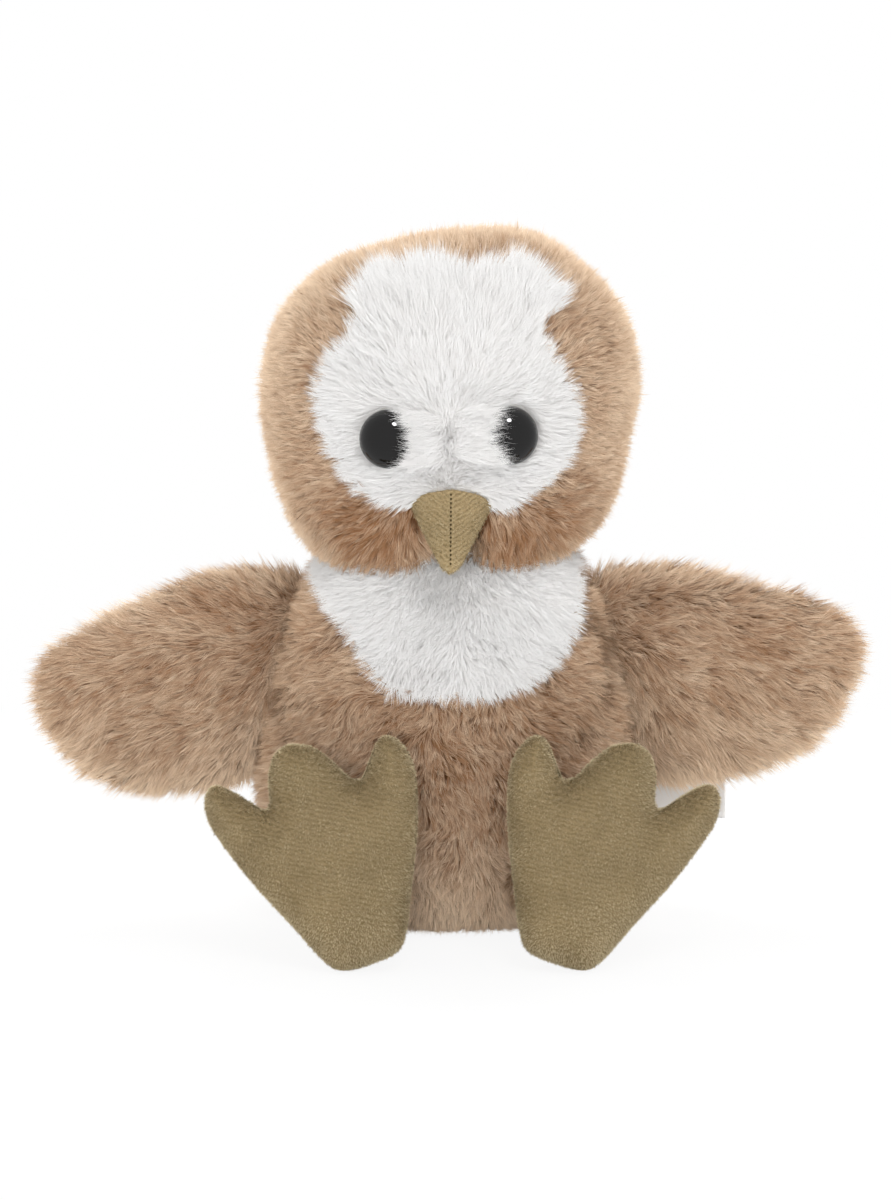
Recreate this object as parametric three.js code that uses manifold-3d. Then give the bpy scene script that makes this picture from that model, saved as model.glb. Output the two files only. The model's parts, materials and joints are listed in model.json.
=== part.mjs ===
// Seated plush owl: a fur body and head, two wings, two short legs and two webbed velour feet.
// Millimetres, +Z up. The owl faces -Y, so its left side is at +X. The origin is on its seat.
// Every stuffed form is a cloth skin in panels round a filling, with a gap between all pieces.

import * as THREE from 'three';
import { mergeVertices } from 'three/addons/utils/BufferGeometryUtils.js';
import ManifoldModule from 'manifold-3d';

// Cloth and clearances
const plushThickness = 3;
const velourThickness = 1.2;
const fitGap = 0.3;
const cutOverrun = 20;
const pillowSquareness = 2.4;
const weldDistance = 0.0005;

// Body, with its breadth at heights up the body
const bodyHeight = 70;
const bodyWidth = 80.5;
const bodyDepth = 68;
const bellyForwardOffset = 2.5;
const bodySquareness = 2.15;
const bodyBreadthShares = [
  [0, 0.56],
  [0.03, 0.75],
  [0.09, 0.88],
  [0.2, 0.97],
  [0.36, 1],
  [0.53, 0.97],
  [0.69, 0.885],
  [0.82, 0.78],
  [0.92, 0.66],
  [0.98, 0.54],
  [1, 0.45],
];
const seatPanelHeight = 5.5;
const pelletBagHeight = 13;
const pelletBagInset = 8;
const bibBottomHeight = 50.5;
const bibOutlineShares = [
  [0, 0],
  [0.32, 0.02],
  [0.58, 0.16],
  [0.8, 0.4],
  [0.95, 0.62],
  [1.05, 1.05],
];
const bibWidth = 56;

// Neck: a ball on the body, a sleeve round it and a hollow in the head, all about one pivot
const neckRadius = 19;
const neckPivotDepth = 5;
const neckSleeveThickness = 1.2;
const neckSleeveTopDeg = 28;
const neckSleeveLowDeg = 68;

// Head
const headWidth = 78.5;
const headDepth = 71;
const headHeight = 72.5;
const headRiseHeight = 43.5;
const headForwardOffset = 1;
const headAcrossOffset = 0.7;
const headTiltDeg = 0.4;
const headLeanShare = 0.04;
const headPlanSquareness = 2.15;
const crownSquareness = 2.2;
const chinSquareness = 2.8;
const cheekSwellHeight = 3.2;
const cheekSpreadDeg = 24;
const cheekAcrossDeg = 31;
const cheekDownDeg = 46;

// Face disc and forehead, as seen from the front and measured from the head's middle
const faceWidth = 56;
const faceLowerHeight = 20.5;
const faceUpperHeight = 19.5;
const faceOutlineShares = [
  [0, -1],
  [0.46, -0.99],
  [0.72, -0.82],
  [0.93, -0.42],
  [1, 0.2],
  [0.93, 0.66],
  [0.68, 1],
];
const foreheadTopHeight = 29.5;
const foreheadWidth = 43;
const foreheadOutlineShares = [
  [0.8, 0],
  [1, 0.55],
  [0.75, 0.86],
  [0.3, 1],
  [0, 0.92],
];

// Safety eyes
const eyeDiameter = 12;
const eyeHeight = 5;
const eyeRimHeight = 0.8;
const eyeSinkDepth = 1.6;
const eyeAcrossDeg = 20.5;
const eyeDownDeg = { left: 5.8, right: 7.2 };
const eyeShankDiameter = 3.2;
const eyeShankLength = 8;
const eyeWasherDiameter = 12.5;
const eyeWasherThickness = 1.2;

// Beak: a soft cone from the face to a tip in front of the chin
const beakWidth = 20;
const beakHeight = 14;
const beakRootDepth = 6;
const beakRootDropHeight = 20;
const beakTipLength = 10;
const beakTipDropHeight = 28.5;
const beakTipShare = 0.16;
const beakCapShare = 0.5;
const beakTaperPower = 0.9;

// Wings, drawn flat about a hinge line down the side of the body
const wingSeamTopHeight = 70;
const wingSeamBottomHeight = 40;
const wingSeamLeanDeg = 15;
const wingRootRadius = 4.6;
const wingLength = 50;
const wingHeight = 48;
const wingThickness = 17;
const wingTipThicknessShare = 0.6;
const wingSweepDeg = 7;
const wingDroopHeight = { left: 0, right: 8 };
const wingMiddleShares = [0.42, -0.05];
const wingOutlineShares = [
  [0.03, -0.38],
  [0.11, -0.5],
  [0.28, -0.555],
  [0.5, -0.555],
  [0.77, -0.42],
  [0.92, -0.215],
  [1, 0.01],
  [0.93, 0.2],
  [0.61, 0.33],
  [0.2, 0.415],
  [-0.02, 0.405],
  [-0.17, 0.375],
  [-0.23, 0.28],
];
const wingRootShares = [0.2, -0.15, -0.45];

// Legs, from a ball at the hip to a ball at the ankle
const hipSpreadWidth = 39;
const hipHeight = 13.5;
const hipRadius = 11.5;
const legRadius = 9.4;
const ankleRadius = 9;
const legLength = 16;
const hipOpeningDeg = 65;
const ankleOpeningDeg = 60;
const legSplayDeg = { left: 16, right: -13 };

// Feet, drawn flat from the heel to the toes
const footLength = 46;
const footWidth = 42;
const footThickness = 14;
const footLeanDeg = 9;
const footTurnDeg = { left: 14, right: 19.5 };
const footMiddleShare = 0.52;
const ankleSinkDepth = 5;
const footOutlineShares = [
  [0, 0],
  [0.3, 0.015],
  [0.44, 0.09],
  [0.59, 0.24],
  [0.82, 0.48],
  [0.96, 0.67],
  [1, 0.84],
  [0.86, 0.935],
  [0.66, 0.88],
  [0.4, 0.8],
  [0.24, 0.93],
  [0, 1],
];

// Label, a strip folded double with its fold outward
const labelLength = 16;
const labelHeight = 10.5;
const labelBottomHeight = 17.5;
const labelSetBackDepth = 3;
const labelClothThickness = 0.4;
const labelFoldGap = 0.5;

// Sides of the round forms
const bodySides = 24;
const headSides = 24;
const headRings = 13;
const ballSides = 16;
const ballRings = 8;
const limbSides = 12;
const neckSleeveSides = 20;
const eyeSides = 12;
const eyeDomeSteps = 3;
const arcSteps = 3;
const beakSides = 10;
const beakRings = 4;
const fillSides = 16;
const fillRings = 8;
const faceSteps = 22;
const wingSteps = 22;
const footSteps = 29;
const crownShares = [0.5, 0.84];
const fillCrownShares = [0.6];

const wasm = await ManifoldModule();
wasm.setup();

const degree = Math.PI / 180;
const rightAngleDeg = 90;
const origin = new THREE.Vector3();
const sideSigns = { left: 1, right: -1 };

// Solids

function solidOf(geometry) {
  const bare = new THREE.BufferGeometry();
  bare.setAttribute('position', geometry.getAttribute('position').clone());
  if (geometry.index) bare.setIndex(geometry.index.clone());
  const merged = mergeVertices(bare, weldDistance);
  const vertProperties = new Float32Array(merged.getAttribute('position').array);
  const triVerts = new Uint32Array(merged.index.array);
  return new wasm.Manifold(new wasm.Mesh({ numProp: 3, vertProperties, triVerts }));
}

function geometryOf(solid) {
  const { vertProperties, triVerts } = solid.getMesh();
  const geometry = new THREE.BufferGeometry();
  geometry.setAttribute('position', new THREE.BufferAttribute(new Float32Array(vertProperties), 3));
  geometry.setIndex(new THREE.BufferAttribute(new Uint32Array(triVerts), 1));
  geometry.computeVertexNormals();
  return geometry;
}

// Closed skin over a row of rings, with a fan from each end ring to its pole
function skinOver(rings, firstPole, lastPole) {
  const sides = rings[0].length;
  const points = [firstPole, ...rings.flat(), lastPole];
  const lastIndex = points.length - 1;
  const faces = [];
  const at = (ring, side) => 1 + ring * sides + (side % sides);
  for (let side = 0; side < sides; side += 1) {
    faces.push([0, at(0, side + 1), at(0, side)]);
    faces.push([lastIndex, at(rings.length - 1, side), at(rings.length - 1, side + 1)]);
    for (let ring = 0; ring < rings.length - 1; ring += 1) {
      faces.push([at(ring, side), at(ring, side + 1), at(ring + 1, side + 1)]);
      faces.push([at(ring, side), at(ring + 1, side + 1), at(ring + 1, side)]);
    }
  }
  let sixVolumes = 0;
  const cross = new THREE.Vector3();
  for (const [a, b, c] of faces) sixVolumes += points[a].dot(cross.crossVectors(points[b], points[c]));
  const outward = sixVolumes > 0 ? faces : faces.map(([a, b, c]) => [a, c, b]);
  const geometry = new THREE.BufferGeometry().setFromPoints(points);
  geometry.setIndex(outward.flat());
  return geometry;
}

function middleOf(points) {
  const middle = new THREE.Vector3();
  for (const point of points) middle.add(point);
  return middle.divideScalar(points.length);
}

// Point of a unit superellipse
function squareRound(angle, squareness) {
  const power = 2 / squareness;
  const across = Math.cos(angle);
  const along = Math.sin(angle);
  return [
    Math.sign(across) * Math.abs(across) ** power,
    Math.sign(along) * Math.abs(along) ** power,
  ];
}

function angles(count) {
  return Array.from({ length: count }, (unused, step) => (step / count) * 2 * Math.PI);
}

// Radius whose flat-sided ball or rod holds the whole round one
function clearOf(radius, sides) {
  return radius / Math.cos(Math.PI / sides) ** 2;
}

function ball(radius, centre) {
  const geometry = new THREE.SphereGeometry(radius, ballSides, ballRings);
  geometry.rotateX(Math.PI / 2);
  geometry.translate(centre.x, centre.y, centre.z);
  return solidOf(geometry);
}

function ballCutter(radius, centre) {
  return ball(clearOf(radius + fitGap, ballRings * 2), centre);
}

// Rod along +Z from one height to another
function rodCutter(radius, from, to) {
  const geometry = new THREE.CylinderGeometry(
    clearOf(radius, eyeSides),
    clearOf(radius, eyeSides),
    to - from,
    eyeSides,
  );
  geometry.rotateX(Math.PI / 2);
  geometry.translate(0, 0, (from + to) / 2);
  return solidOf(geometry);
}

// Block that holds everything on one side of a plane through a place on an axis
function halfSpace(axis, sign, place) {
  const reach = 2 * (bodyHeight + headHeight + wingLength);
  const geometry = new THREE.BoxGeometry(reach, reach, reach);
  geometry.translate(...axis.map((part) => part * (place + (sign * reach) / 2)));
  return solidOf(geometry);
}

const alongX = [1, 0, 0];
const alongY = [0, 1, 0];
const alongZ = [0, 0, 1];

// The part of a solid on one side of a plane, short of it by half a gap
function oneSide(solid, axis, sign, place = 0) {
  return solid.intersect(halfSpace(axis, sign, place + (sign * fitGap) / 2));
}

// Rounded outline through points in a plane, each [across, up]
function smoothOutline(points, steps) {
  const curve = new THREE.CatmullRomCurve3(
    points.map(([across, up]) => new THREE.Vector3(across, up, 0)),
    true,
    'centripetal',
  );
  const spaced = curve.getSpacedPoints(steps).slice(0, -1);
  return spaced.map((point) => new THREE.Vector2(point.x, point.y));
}

// Half outline on the right, joined to its mirror image; the ends lie on the middle line
function mirrored(half) {
  const inner = half.slice().reverse().filter(([across]) => across > 0);
  return [...half, ...inner.map(([across, up]) => [-across, up])];
}

// Prism in front of the body or head over an outline seen from the front
function frontPrism(outline, backY) {
  const depth = bodyDepth + headDepth;
  const geometry = new THREE.ExtrudeGeometry(new THREE.Shape(outline), { depth, bevelEnabled: false });
  geometry.rotateX(Math.PI / 2);
  geometry.translate(0, backY, 0);
  return solidOf(geometry);
}

// The outline moved outward by a distance, or inward if it is negative
function offsetOutline(outline, distance) {
  const count = outline.length;
  const area = THREE.ShapeUtils.area(outline);
  return outline.map((point, step) => {
    const before = outline[(step + count - 1) % count];
    const after = outline[(step + 1) % count];
    const run = after.clone().sub(before).normalize();
    const normal = new THREE.Vector2(run.y, -run.x).multiplyScalar(Math.sign(area));
    return point.clone().addScaledVector(normal, distance);
  });
}

// Stuffed flat form over an outline in x and z, crowned along y to a half thickness at each place
function pillow(outline, middle, halfThicknessAt, inset, ringShares) {
  const edge = inset > 0 ? offsetOutline(outline, -inset) : outline;
  const meanReach = edge.reduce((sum, point) => sum + point.distanceTo(middle), 0) / edge.length;
  const ringAt = (share, sign) => edge.map((point) => {
    const out = point.clone().sub(middle);
    const round = out.clone().setLength(meanReach);
    const spot = middle.clone().addScaledVector(round.lerp(out, share), share);
    const half = Math.max(halfThicknessAt(spot) - inset, fitGap);
    const crown = Math.sqrt(1 - share ** pillowSquareness);
    return new THREE.Vector3(spot.x, sign * half * crown, spot.y);
  });
  const poleAt = (sign) => new THREE.Vector3(
    middle.x,
    sign * Math.max(halfThicknessAt(middle) - inset, fitGap),
    middle.y,
  );
  const rings = [
    ...ringShares.map((share) => ringAt(share, -1)),
    ringAt(1, 1),
    ...ringShares.slice().reverse().map((share) => ringAt(share, 1)),
  ];
  return skinOver(rings, poleAt(-1), poleAt(1));
}

// Finishes

function finish(color, roughness) {
  return new THREE.MeshStandardMaterial({ color, roughness, metalness: 0 });
}

const tanPlush = finish('#b08f70', 0.95);
const whitePlush = finish('#ecebea', 0.95);
const oliveVelour = finish('#8f835f', 0.9);
const blackPlastic = finish('#0c0b0b', 0.08);
const whitePlastic = finish('#e4e2dc', 0.45);
const liningCloth = finish('#a58a70', 0.9);
const filling = finish('#f0efeb', 1);
const pelletCloth = finish('#d9d5cb', 0.9);
const whiteSatin = finish('#f2f1ef', 0.45);

function piece(name, solid, material) {
  const mesh = new THREE.Mesh(geometryOf(solid), material);
  mesh.name = name;
  return mesh;
}

// Body

function bodyBreadthAt(height) {
  const share = height / bodyHeight;
  const next = Math.max(1, bodyBreadthShares.findIndex(([level]) => level >= share));
  const [lowLevel, lowBreadth] = bodyBreadthShares[next - 1];
  const [highLevel, highBreadth] = bodyBreadthShares[next];
  const part = (share - lowLevel) / (highLevel - lowLevel);
  return lowBreadth + (highBreadth - lowBreadth) * part;
}

function bodyMiddleAt(height) {
  return -bellyForwardOffset * Math.sin((Math.PI * height) / bodyHeight);
}

// How far forward the body's front lies at a height and a distance from the middle line
function bodyFrontAt(across, height) {
  const breadth = bodyBreadthAt(height);
  const share = Math.min(Math.abs(across) / ((bodyWidth / 2) * breadth), 1);
  const fullness = (1 - share ** bodySquareness) ** (1 / bodySquareness);
  return bodyMiddleAt(height) - (bodyDepth / 2) * breadth * fullness;
}

function bodyForm(inset, sides) {
  const rings = bodyBreadthShares.map(([level, breadth]) => {
    const height = inset + level * (bodyHeight - 2 * inset);
    return angles(sides).map((angle) => {
      const [across, along] = squareRound(angle, bodySquareness);
      return new THREE.Vector3(
        across * ((bodyWidth / 2) * breadth - inset),
        bodyMiddleAt(height) + along * ((bodyDepth / 2) * breadth - inset),
        height,
      );
    });
  });
  return solidOf(skinOver(rings, middleOf(rings[0]), middleOf(rings[rings.length - 1])));
}

const neckPivot = new THREE.Vector3(0, 0, bodyHeight - neckPivotDepth);

function bodyWithNeck(inset, sides) {
  return bodyForm(inset, sides).add(ball(neckRadius - inset, neckPivot));
}

function hipPivot(side) {
  const across = (sideSigns[side] * hipSpreadWidth) / 2;
  return new THREE.Vector3(across, bodyFrontAt(across, hipHeight), hipHeight);
}

function makeBody() {
  const hips = ballCutter(hipRadius, hipPivot('left')).add(ballCutter(hipRadius, hipPivot('right')));
  const skin = bodyWithNeck(0, bodySides).subtract(bodyWithNeck(plushThickness, fillSides)).subtract(hips);
  const seat = oneSide(skin, alongZ, -1, seatPanelHeight);
  const upper = oneSide(skin, alongZ, 1, seatPanelHeight);
  const back = oneSide(upper, alongY, 1);
  const front = oneSide(upper, alongY, -1);

  const bibRise = bodyHeight - bibBottomHeight;
  const bibTop = bodyHeight + neckRadius;
  const bibHalf = bibOutlineShares.map(([across, up]) => [
    (across * bibWidth) / 2,
    bibBottomHeight + up * bibRise,
  ]);
  const bibOutline = mirrored([...bibHalf, [bibWidth / 2, bibTop], [0, bibTop]]);
  const bibShape = bibOutline.map(([across, up]) => new THREE.Vector2(across, up));
  const bib = front.intersect(frontPrism(bibShape, 0));
  const belly = front.subtract(frontPrism(offsetOutline(bibShape, fitGap), fitGap));

  const fill = bodyWithNeck(plushThickness + fitGap, fillSides).subtract(hips);
  const bagFloor = plushThickness + fitGap;
  const bagRoom = bodyForm(pelletBagInset, fillSides);
  const bagSpace = oneSide(bagRoom, alongZ, -1, bagFloor + pelletBagHeight);
  const bagShift = bagFloor - pelletBagInset;
  const bag = bagSpace.translate([0, 0, bagShift]).subtract(hips);
  const bagCutter = bodyForm(pelletBagInset - fitGap, fillSides).translate([0, 0, bagShift]);
  const bagHole = oneSide(bagCutter, alongZ, -1, bagFloor + pelletBagHeight + bagShift + 2 * fitGap);

  const group = new THREE.Group();
  group.add(
    piece('body_back_panel', back, tanPlush),
    piece('belly_panel', belly, tanPlush),
    piece('chest_bib', bib, whitePlush),
    piece('seat_panel', seat, tanPlush),
    piece('body_stuffing', fill.subtract(bagHole), filling),
    piece('pellet_bag', bag, pelletCloth),
    makeLabel(),
  );
  return group;
}

// Label

function makeLabel() {
  const halfGap = labelFoldGap / 2;
  const outer = halfGap + labelClothThickness;
  const shape = new THREE.Shape();
  shape.moveTo(0, -outer);
  shape.lineTo(labelLength - outer, -outer);
  shape.absarc(labelLength - outer, 0, outer, -Math.PI / 2, Math.PI / 2, false);
  shape.lineTo(0, outer);
  shape.lineTo(0, halfGap);
  shape.lineTo(labelLength - outer, halfGap);
  shape.absarc(labelLength - outer, 0, halfGap, Math.PI / 2, -Math.PI / 2, true);
  shape.lineTo(0, -halfGap);
  const geometry = new THREE.ExtrudeGeometry(shape, {
    depth: labelHeight,
    bevelEnabled: false,
    curveSegments: arcSteps,
  });
  const level = labelBottomHeight + labelHeight / 2;
  const root = (bodyWidth / 2) * bodyBreadthAt(level) + fitGap;
  geometry.translate(root, labelSetBackDepth, labelBottomHeight);
  return piece('side_label', solidOf(geometry), whiteSatin);
}

// Neck

const neckSleeveBore = clearOf(neckRadius + fitGap, neckSleeveSides);

function makeNeckSleeve() {
  const inner = neckSleeveBore;
  const outer = inner + neckSleeveThickness;
  const arc = (radius, from, to) => Array.from({ length: arcSteps + 1 }, (unused, step) => {
    const angle = (from + ((to - from) * step) / arcSteps) * degree;
    return new THREE.Vector2(radius * Math.sin(angle), radius * Math.cos(angle));
  });
  const outside = arc(outer, neckSleeveLowDeg, neckSleeveTopDeg);
  const inside = arc(inner, neckSleeveTopDeg, neckSleeveLowDeg);
  const profile = [...outside, ...inside, outside[0].clone()];
  const geometry = new THREE.LatheGeometry(profile, neckSleeveSides);
  geometry.rotateX(Math.PI / 2);
  const mesh = piece('neck_sleeve', solidOf(geometry), liningCloth);
  mesh.position.copy(neckPivot);
  return mesh;
}

// Head, drawn about its own middle

function direction(acrossDeg, upDeg) {
  return new THREE.Vector3(
    Math.sin(acrossDeg * degree) * Math.cos(upDeg * degree),
    -Math.cos(acrossDeg * degree) * Math.cos(upDeg * degree),
    Math.sin(upDeg * degree),
  );
}

const cheekDirections = Object.values(sideSigns).map((sign) => (
  direction(sign * cheekAcrossDeg, -cheekDownDeg)
));

// Distance from the head's middle to its surface
function headReach(toward, inset) {
  const halfWidth = headWidth / 2 - inset;
  const halfDepth = headDepth / 2 - inset;
  const halfHeight = headHeight / 2 - inset;
  const plan = (
    Math.abs(toward.x / halfWidth) ** headPlanSquareness
    + Math.abs(toward.y / halfDepth) ** headPlanSquareness
  ) ** (1 / headPlanSquareness);
  const squareness = toward.z > 0 ? crownSquareness : chinSquareness;
  const size = (plan ** squareness + Math.abs(toward.z / halfHeight) ** squareness) ** (1 / squareness);
  const swell = cheekDirections.reduce((sum, cheek) => {
    const apart = toward.angleTo(cheek) / (cheekSpreadDeg * degree);
    return sum + cheekSwellHeight * Math.exp(-apart * apart);
  }, 0);
  return 1 / size + swell;
}

// Place on the surface of the head, whose crown leans a little to its left
function headPoint(toward, inset) {
  const point = toward.clone().multiplyScalar(headReach(toward, inset));
  point.x += headLeanShare * point.z;
  return point;
}

function headForm(inset, sides, ringCount) {
  const rings = Array.from({ length: ringCount }, (unused, ring) => {
    const upDeg = ((2 * (ring + 1)) / (ringCount + 1) - 1) * rightAngleDeg;
    return angles(sides).map((angle) => headPoint(direction(angle / degree, upDeg), inset));
  });
  const poles = [-1, 1].map((sign) => headPoint(new THREE.Vector3(0, 0, sign), inset));
  return solidOf(skinOver(rings, ...poles));
}

// Place of the head's own frame above the neck's pivot
const headFrame = new THREE.Matrix4()
  .makeTranslation(headAcrossOffset, -headForwardOffset, headRiseHeight)
  .multiply(new THREE.Matrix4().makeRotationY(headTiltDeg * degree));
const headPivot = origin.clone().applyMatrix4(headFrame.clone().invert());

// Local frame at a spot on the head, with +Z pointing out of it
function outwardFrame(toward, depth) {
  const turn = new THREE.Quaternion().setFromUnitVectors(new THREE.Vector3(0, 0, 1), toward);
  const place = headPoint(toward, 0).addScaledVector(toward, -depth);
  return new THREE.Matrix4().compose(place, turn, new THREE.Vector3(1, 1, 1));
}

function moved(solid, matrix) {
  return solid.transform(matrix.toArray());
}

function eyeFrame(side) {
  return outwardFrame(direction(sideSigns[side] * eyeAcrossDeg, -eyeDownDeg[side]), eyeSinkDepth);
}

const eyeFloor = plushThickness - eyeSinkDepth;
const washerSag = eyeWasherDiameter ** 2 / (4 * headDepth);
const washerTop = -eyeFloor - washerSag - fitGap;
const washerBottom = washerTop - eyeWasherThickness;

function makeEye(side) {
  const radius = eyeDiameter / 2;
  const shankRadius = eyeShankDiameter / 2;
  const dome = Array.from({ length: eyeDomeSteps + 1 }, (unused, step) => {
    const angle = (step / eyeDomeSteps) * (Math.PI / 2);
    const rise = eyeRimHeight + (eyeHeight - eyeRimHeight) * Math.sin(angle);
    return new THREE.Vector2(step === eyeDomeSteps ? 0 : radius * Math.cos(angle), rise);
  });
  const profile = [
    new THREE.Vector2(0, -eyeShankLength),
    new THREE.Vector2(shankRadius, -eyeShankLength),
    new THREE.Vector2(shankRadius, 0),
    new THREE.Vector2(radius, 0),
    ...dome,
  ];
  const geometry = new THREE.LatheGeometry(profile, eyeSides);
  geometry.rotateX(Math.PI / 2);
  const mesh = piece(`eye_${side}`, solidOf(geometry), blackPlastic);
  mesh.applyMatrix4(eyeFrame(side));
  return mesh;
}

function makeEyeWasher(side) {
  const bore = clearOf(eyeShankDiameter / 2 + fitGap, eyeSides);
  const rim = eyeWasherDiameter / 2;
  const profile = [
    new THREE.Vector2(bore, washerBottom),
    new THREE.Vector2(rim, washerBottom),
    new THREE.Vector2(rim, washerTop),
    new THREE.Vector2(bore, washerTop),
    new THREE.Vector2(bore, washerBottom),
  ];
  const geometry = new THREE.LatheGeometry(profile, eyeSides);
  geometry.rotateX(Math.PI / 2);
  const mesh = piece(`eye_washer_${side}`, solidOf(geometry), whitePlastic);
  mesh.applyMatrix4(eyeFrame(side));
  return mesh;
}

function eyeCutter(side) {
  const seat = rodCutter(eyeDiameter / 2 + fitGap, -fitGap, cutOverrun);
  const shank = rodCutter(eyeShankDiameter / 2 + fitGap, -eyeShankLength - fitGap, cutOverrun);
  return moved(seat.add(shank), eyeFrame(side));
}

// Room for the washer and the end of the shank, up to a height on the eye's own axis
function washerCutter(side, top) {
  const room = rodCutter(eyeWasherDiameter / 2 + fitGap, -eyeShankLength - fitGap, top);
  return moved(room, eyeFrame(side));
}

// Soft cone of the beak, from inside the face to the tip
function beakForm(inset) {
  const front = headReach(direction(0, 0), 0);
  const root = new THREE.Vector3(0, beakRootDepth - front, -beakRootDropHeight);
  const tip = new THREE.Vector3(0, -front - beakTipLength, -beakTipDropHeight);
  const along = tip.clone().sub(root).normalize();
  const across = new THREE.Vector3(1, 0, 0);
  const rise = new THREE.Vector3().crossVectors(across, along).normalize();
  const rings = Array.from({ length: beakRings }, (unused, ring) => {
    const share = ring / (beakRings - 1);
    const size = beakTipShare + (1 - beakTipShare) * (1 - share) ** beakTaperPower;
    const middle = root.clone().lerp(tip, share).addScaledVector(along, (inset / 2) * (1 - 2 * share));
    const halfWidth = Math.max((beakWidth / 2) * size - inset, fitGap);
    const halfHeight = Math.max((beakHeight / 2) * size - inset, fitGap);
    return angles(beakSides).map((angle) => middle.clone()
      .addScaledVector(across, halfWidth * Math.cos(angle))
      .addScaledVector(rise, halfHeight * Math.sin(angle)));
  });
  const capReach = (beakHeight / 2) * beakTipShare * beakCapShare;
  const tipCap = tip.clone().addScaledVector(along, capReach - inset);
  return solidOf(skinOver(rings, middleOf(rings[0]), tipCap));
}

function makeHead() {
  const shell = headForm(0, headSides, headRings).subtract(headForm(plushThickness, fillSides, fillRings));
  const hollow = ballCutter(neckSleeveBore + neckSleeveThickness, headPivot);
  const skin = shell.subtract(hollow);
  const clearance = headForm(-fitGap, headSides, headRings);

  const faceHalf = faceOutlineShares.map(([across, up]) => [
    (across * faceWidth) / 2,
    up * (up > 0 ? faceUpperHeight : faceLowerHeight),
  ]);
  const faceOutline = smoothOutline(mirrored(faceHalf), faceSteps);
  const foreheadBottom = faceUpperHeight - plushThickness;
  const foreheadHalf = foreheadOutlineShares.map(([across, up]) => [
    (across * foreheadWidth) / 2,
    foreheadBottom + up * (foreheadTopHeight - foreheadBottom),
  ]);
  const foreheadOutline = mirrored([[0, foreheadBottom], ...foreheadHalf])
    .map(([across, up]) => new THREE.Vector2(across, up));
  const forehead = skin.intersect(frontPrism(foreheadOutline, 0));
  const foreheadCutter = frontPrism(offsetOutline(foreheadOutline, fitGap), fitGap);
  const faceCutter = frontPrism(offsetOutline(faceOutline, fitGap), fitGap);
  const washerPlace = washerTop + fitGap;
  const eyes = eyeCutter('left').add(eyeCutter('right'))
    .add(washerCutter('left', washerPlace)).add(washerCutter('right', washerPlace));
  const face = skin.intersect(frontPrism(faceOutline, 0)).subtract(foreheadCutter).subtract(eyes);
  const rest = skin.subtract(faceCutter).subtract(foreheadCutter);

  const washers = washerCutter('left', cutOverrun).add(washerCutter('right', cutOverrun));
  const fill = headForm(plushThickness + fitGap, fillSides, fillRings).subtract(hollow).subtract(washers);
  const beakSkin = beakForm(0).subtract(beakForm(velourThickness)).subtract(clearance);
  const beakFill = beakForm(velourThickness + fitGap).subtract(clearance);

  const inner = new THREE.Group();
  inner.applyMatrix4(headFrame);
  inner.add(
    piece('head_side_left', oneSide(rest, alongX, 1), tanPlush),
    piece('head_side_right', oneSide(rest, alongX, -1), tanPlush),
    piece('face_left', oneSide(face, alongX, 1), whitePlush),
    piece('face_right', oneSide(face, alongX, -1), whitePlush),
    piece('forehead_panel', forehead, whitePlush),
    piece('head_stuffing', fill, filling),
    piece('beak_left_panel', oneSide(beakSkin, alongX, 1), oliveVelour),
    piece('beak_right_panel', oneSide(beakSkin, alongX, -1), oliveVelour),
    piece('beak_stuffing', beakFill, filling),
  );
  for (const side of Object.keys(sideSigns)) inner.add(makeEye(side), makeEyeWasher(side));
  const group = new THREE.Group();
  group.position.copy(neckPivot);
  group.add(inner);
  return group;
}

// Wings

const wingSeamMiddle = (wingSeamTopHeight + wingSeamBottomHeight) / 2;
const wingSeamRun = wingSeamTopHeight - wingSeamBottomHeight;
const wingSeamLean = Math.tan(wingSeamLeanDeg * degree);
const wingRootStep = wingRootRadius / Math.cos(wingSeamLeanDeg * degree);

// How far out the leaning line of the seam passes at its middle to clear the side of the body
const wingSeamAcross = Math.max(...bodyBreadthShares.map(([level, breadth]) => {
  const height = THREE.MathUtils.clamp(level * bodyHeight, wingSeamBottomHeight, wingSeamTopHeight);
  const across = Math.min(breadth, bodyBreadthAt(height)) * (bodyWidth / 2);
  return across + wingSeamLean * (height - wingSeamMiddle);
}));

function wingHinge(side) {
  const across = wingSeamAcross + wingRootStep + fitGap;
  return {
    middle: new THREE.Vector3(sideSigns[side] * across, 0, wingSeamMiddle),
    axis: new THREE.Vector3(-sideSigns[side] * wingSeamLean, 0, 1).normalize(),
  };
}

function makeWing(side) {
  const sign = sideSigns[side];
  const hinge = wingHinge(side);
  const place = ([across, up]) => {
    const droop = wingDroopHeight[side] * Math.max(across, 0);
    return [sign * across * wingLength, up * wingHeight - droop];
  };
  const rootPoints = wingRootShares.map((level) => [
    -sign * (level * wingSeamRun * wingSeamLean + wingRootStep),
    level * wingSeamRun,
  ]);
  const outline = smoothOutline([...wingOutlineShares.map(place), ...rootPoints], wingSteps);
  const middle = new THREE.Vector2(...place(wingMiddleShares));
  const halfThicknessAt = (spot) => {
    const out = THREE.MathUtils.clamp((sign * spot.x) / wingLength, 0, 1);
    return (wingThickness / 2) * (1 - (1 - wingTipThicknessShare) * out ** 2);
  };
  const form = (inset, shares) => solidOf(pillow(outline, middle, halfThicknessAt, inset, shares));
  const skin = form(0, crownShares).subtract(form(plushThickness, fillCrownShares));
  const fill = form(plushThickness + fitGap, fillCrownShares);
  const group = new THREE.Group();
  group.position.copy(hinge.middle);
  group.quaternion.setFromAxisAngle(hinge.axis, -sign * wingSweepDeg * degree);
  group.add(
    piece(`wing_${side}_front`, oneSide(skin, alongY, -1), tanPlush),
    piece(`wing_${side}_back`, oneSide(skin, alongY, 1), tanPlush),
    piece(`wing_${side}_stuffing`, fill, filling),
  );
  return group;
}

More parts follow.
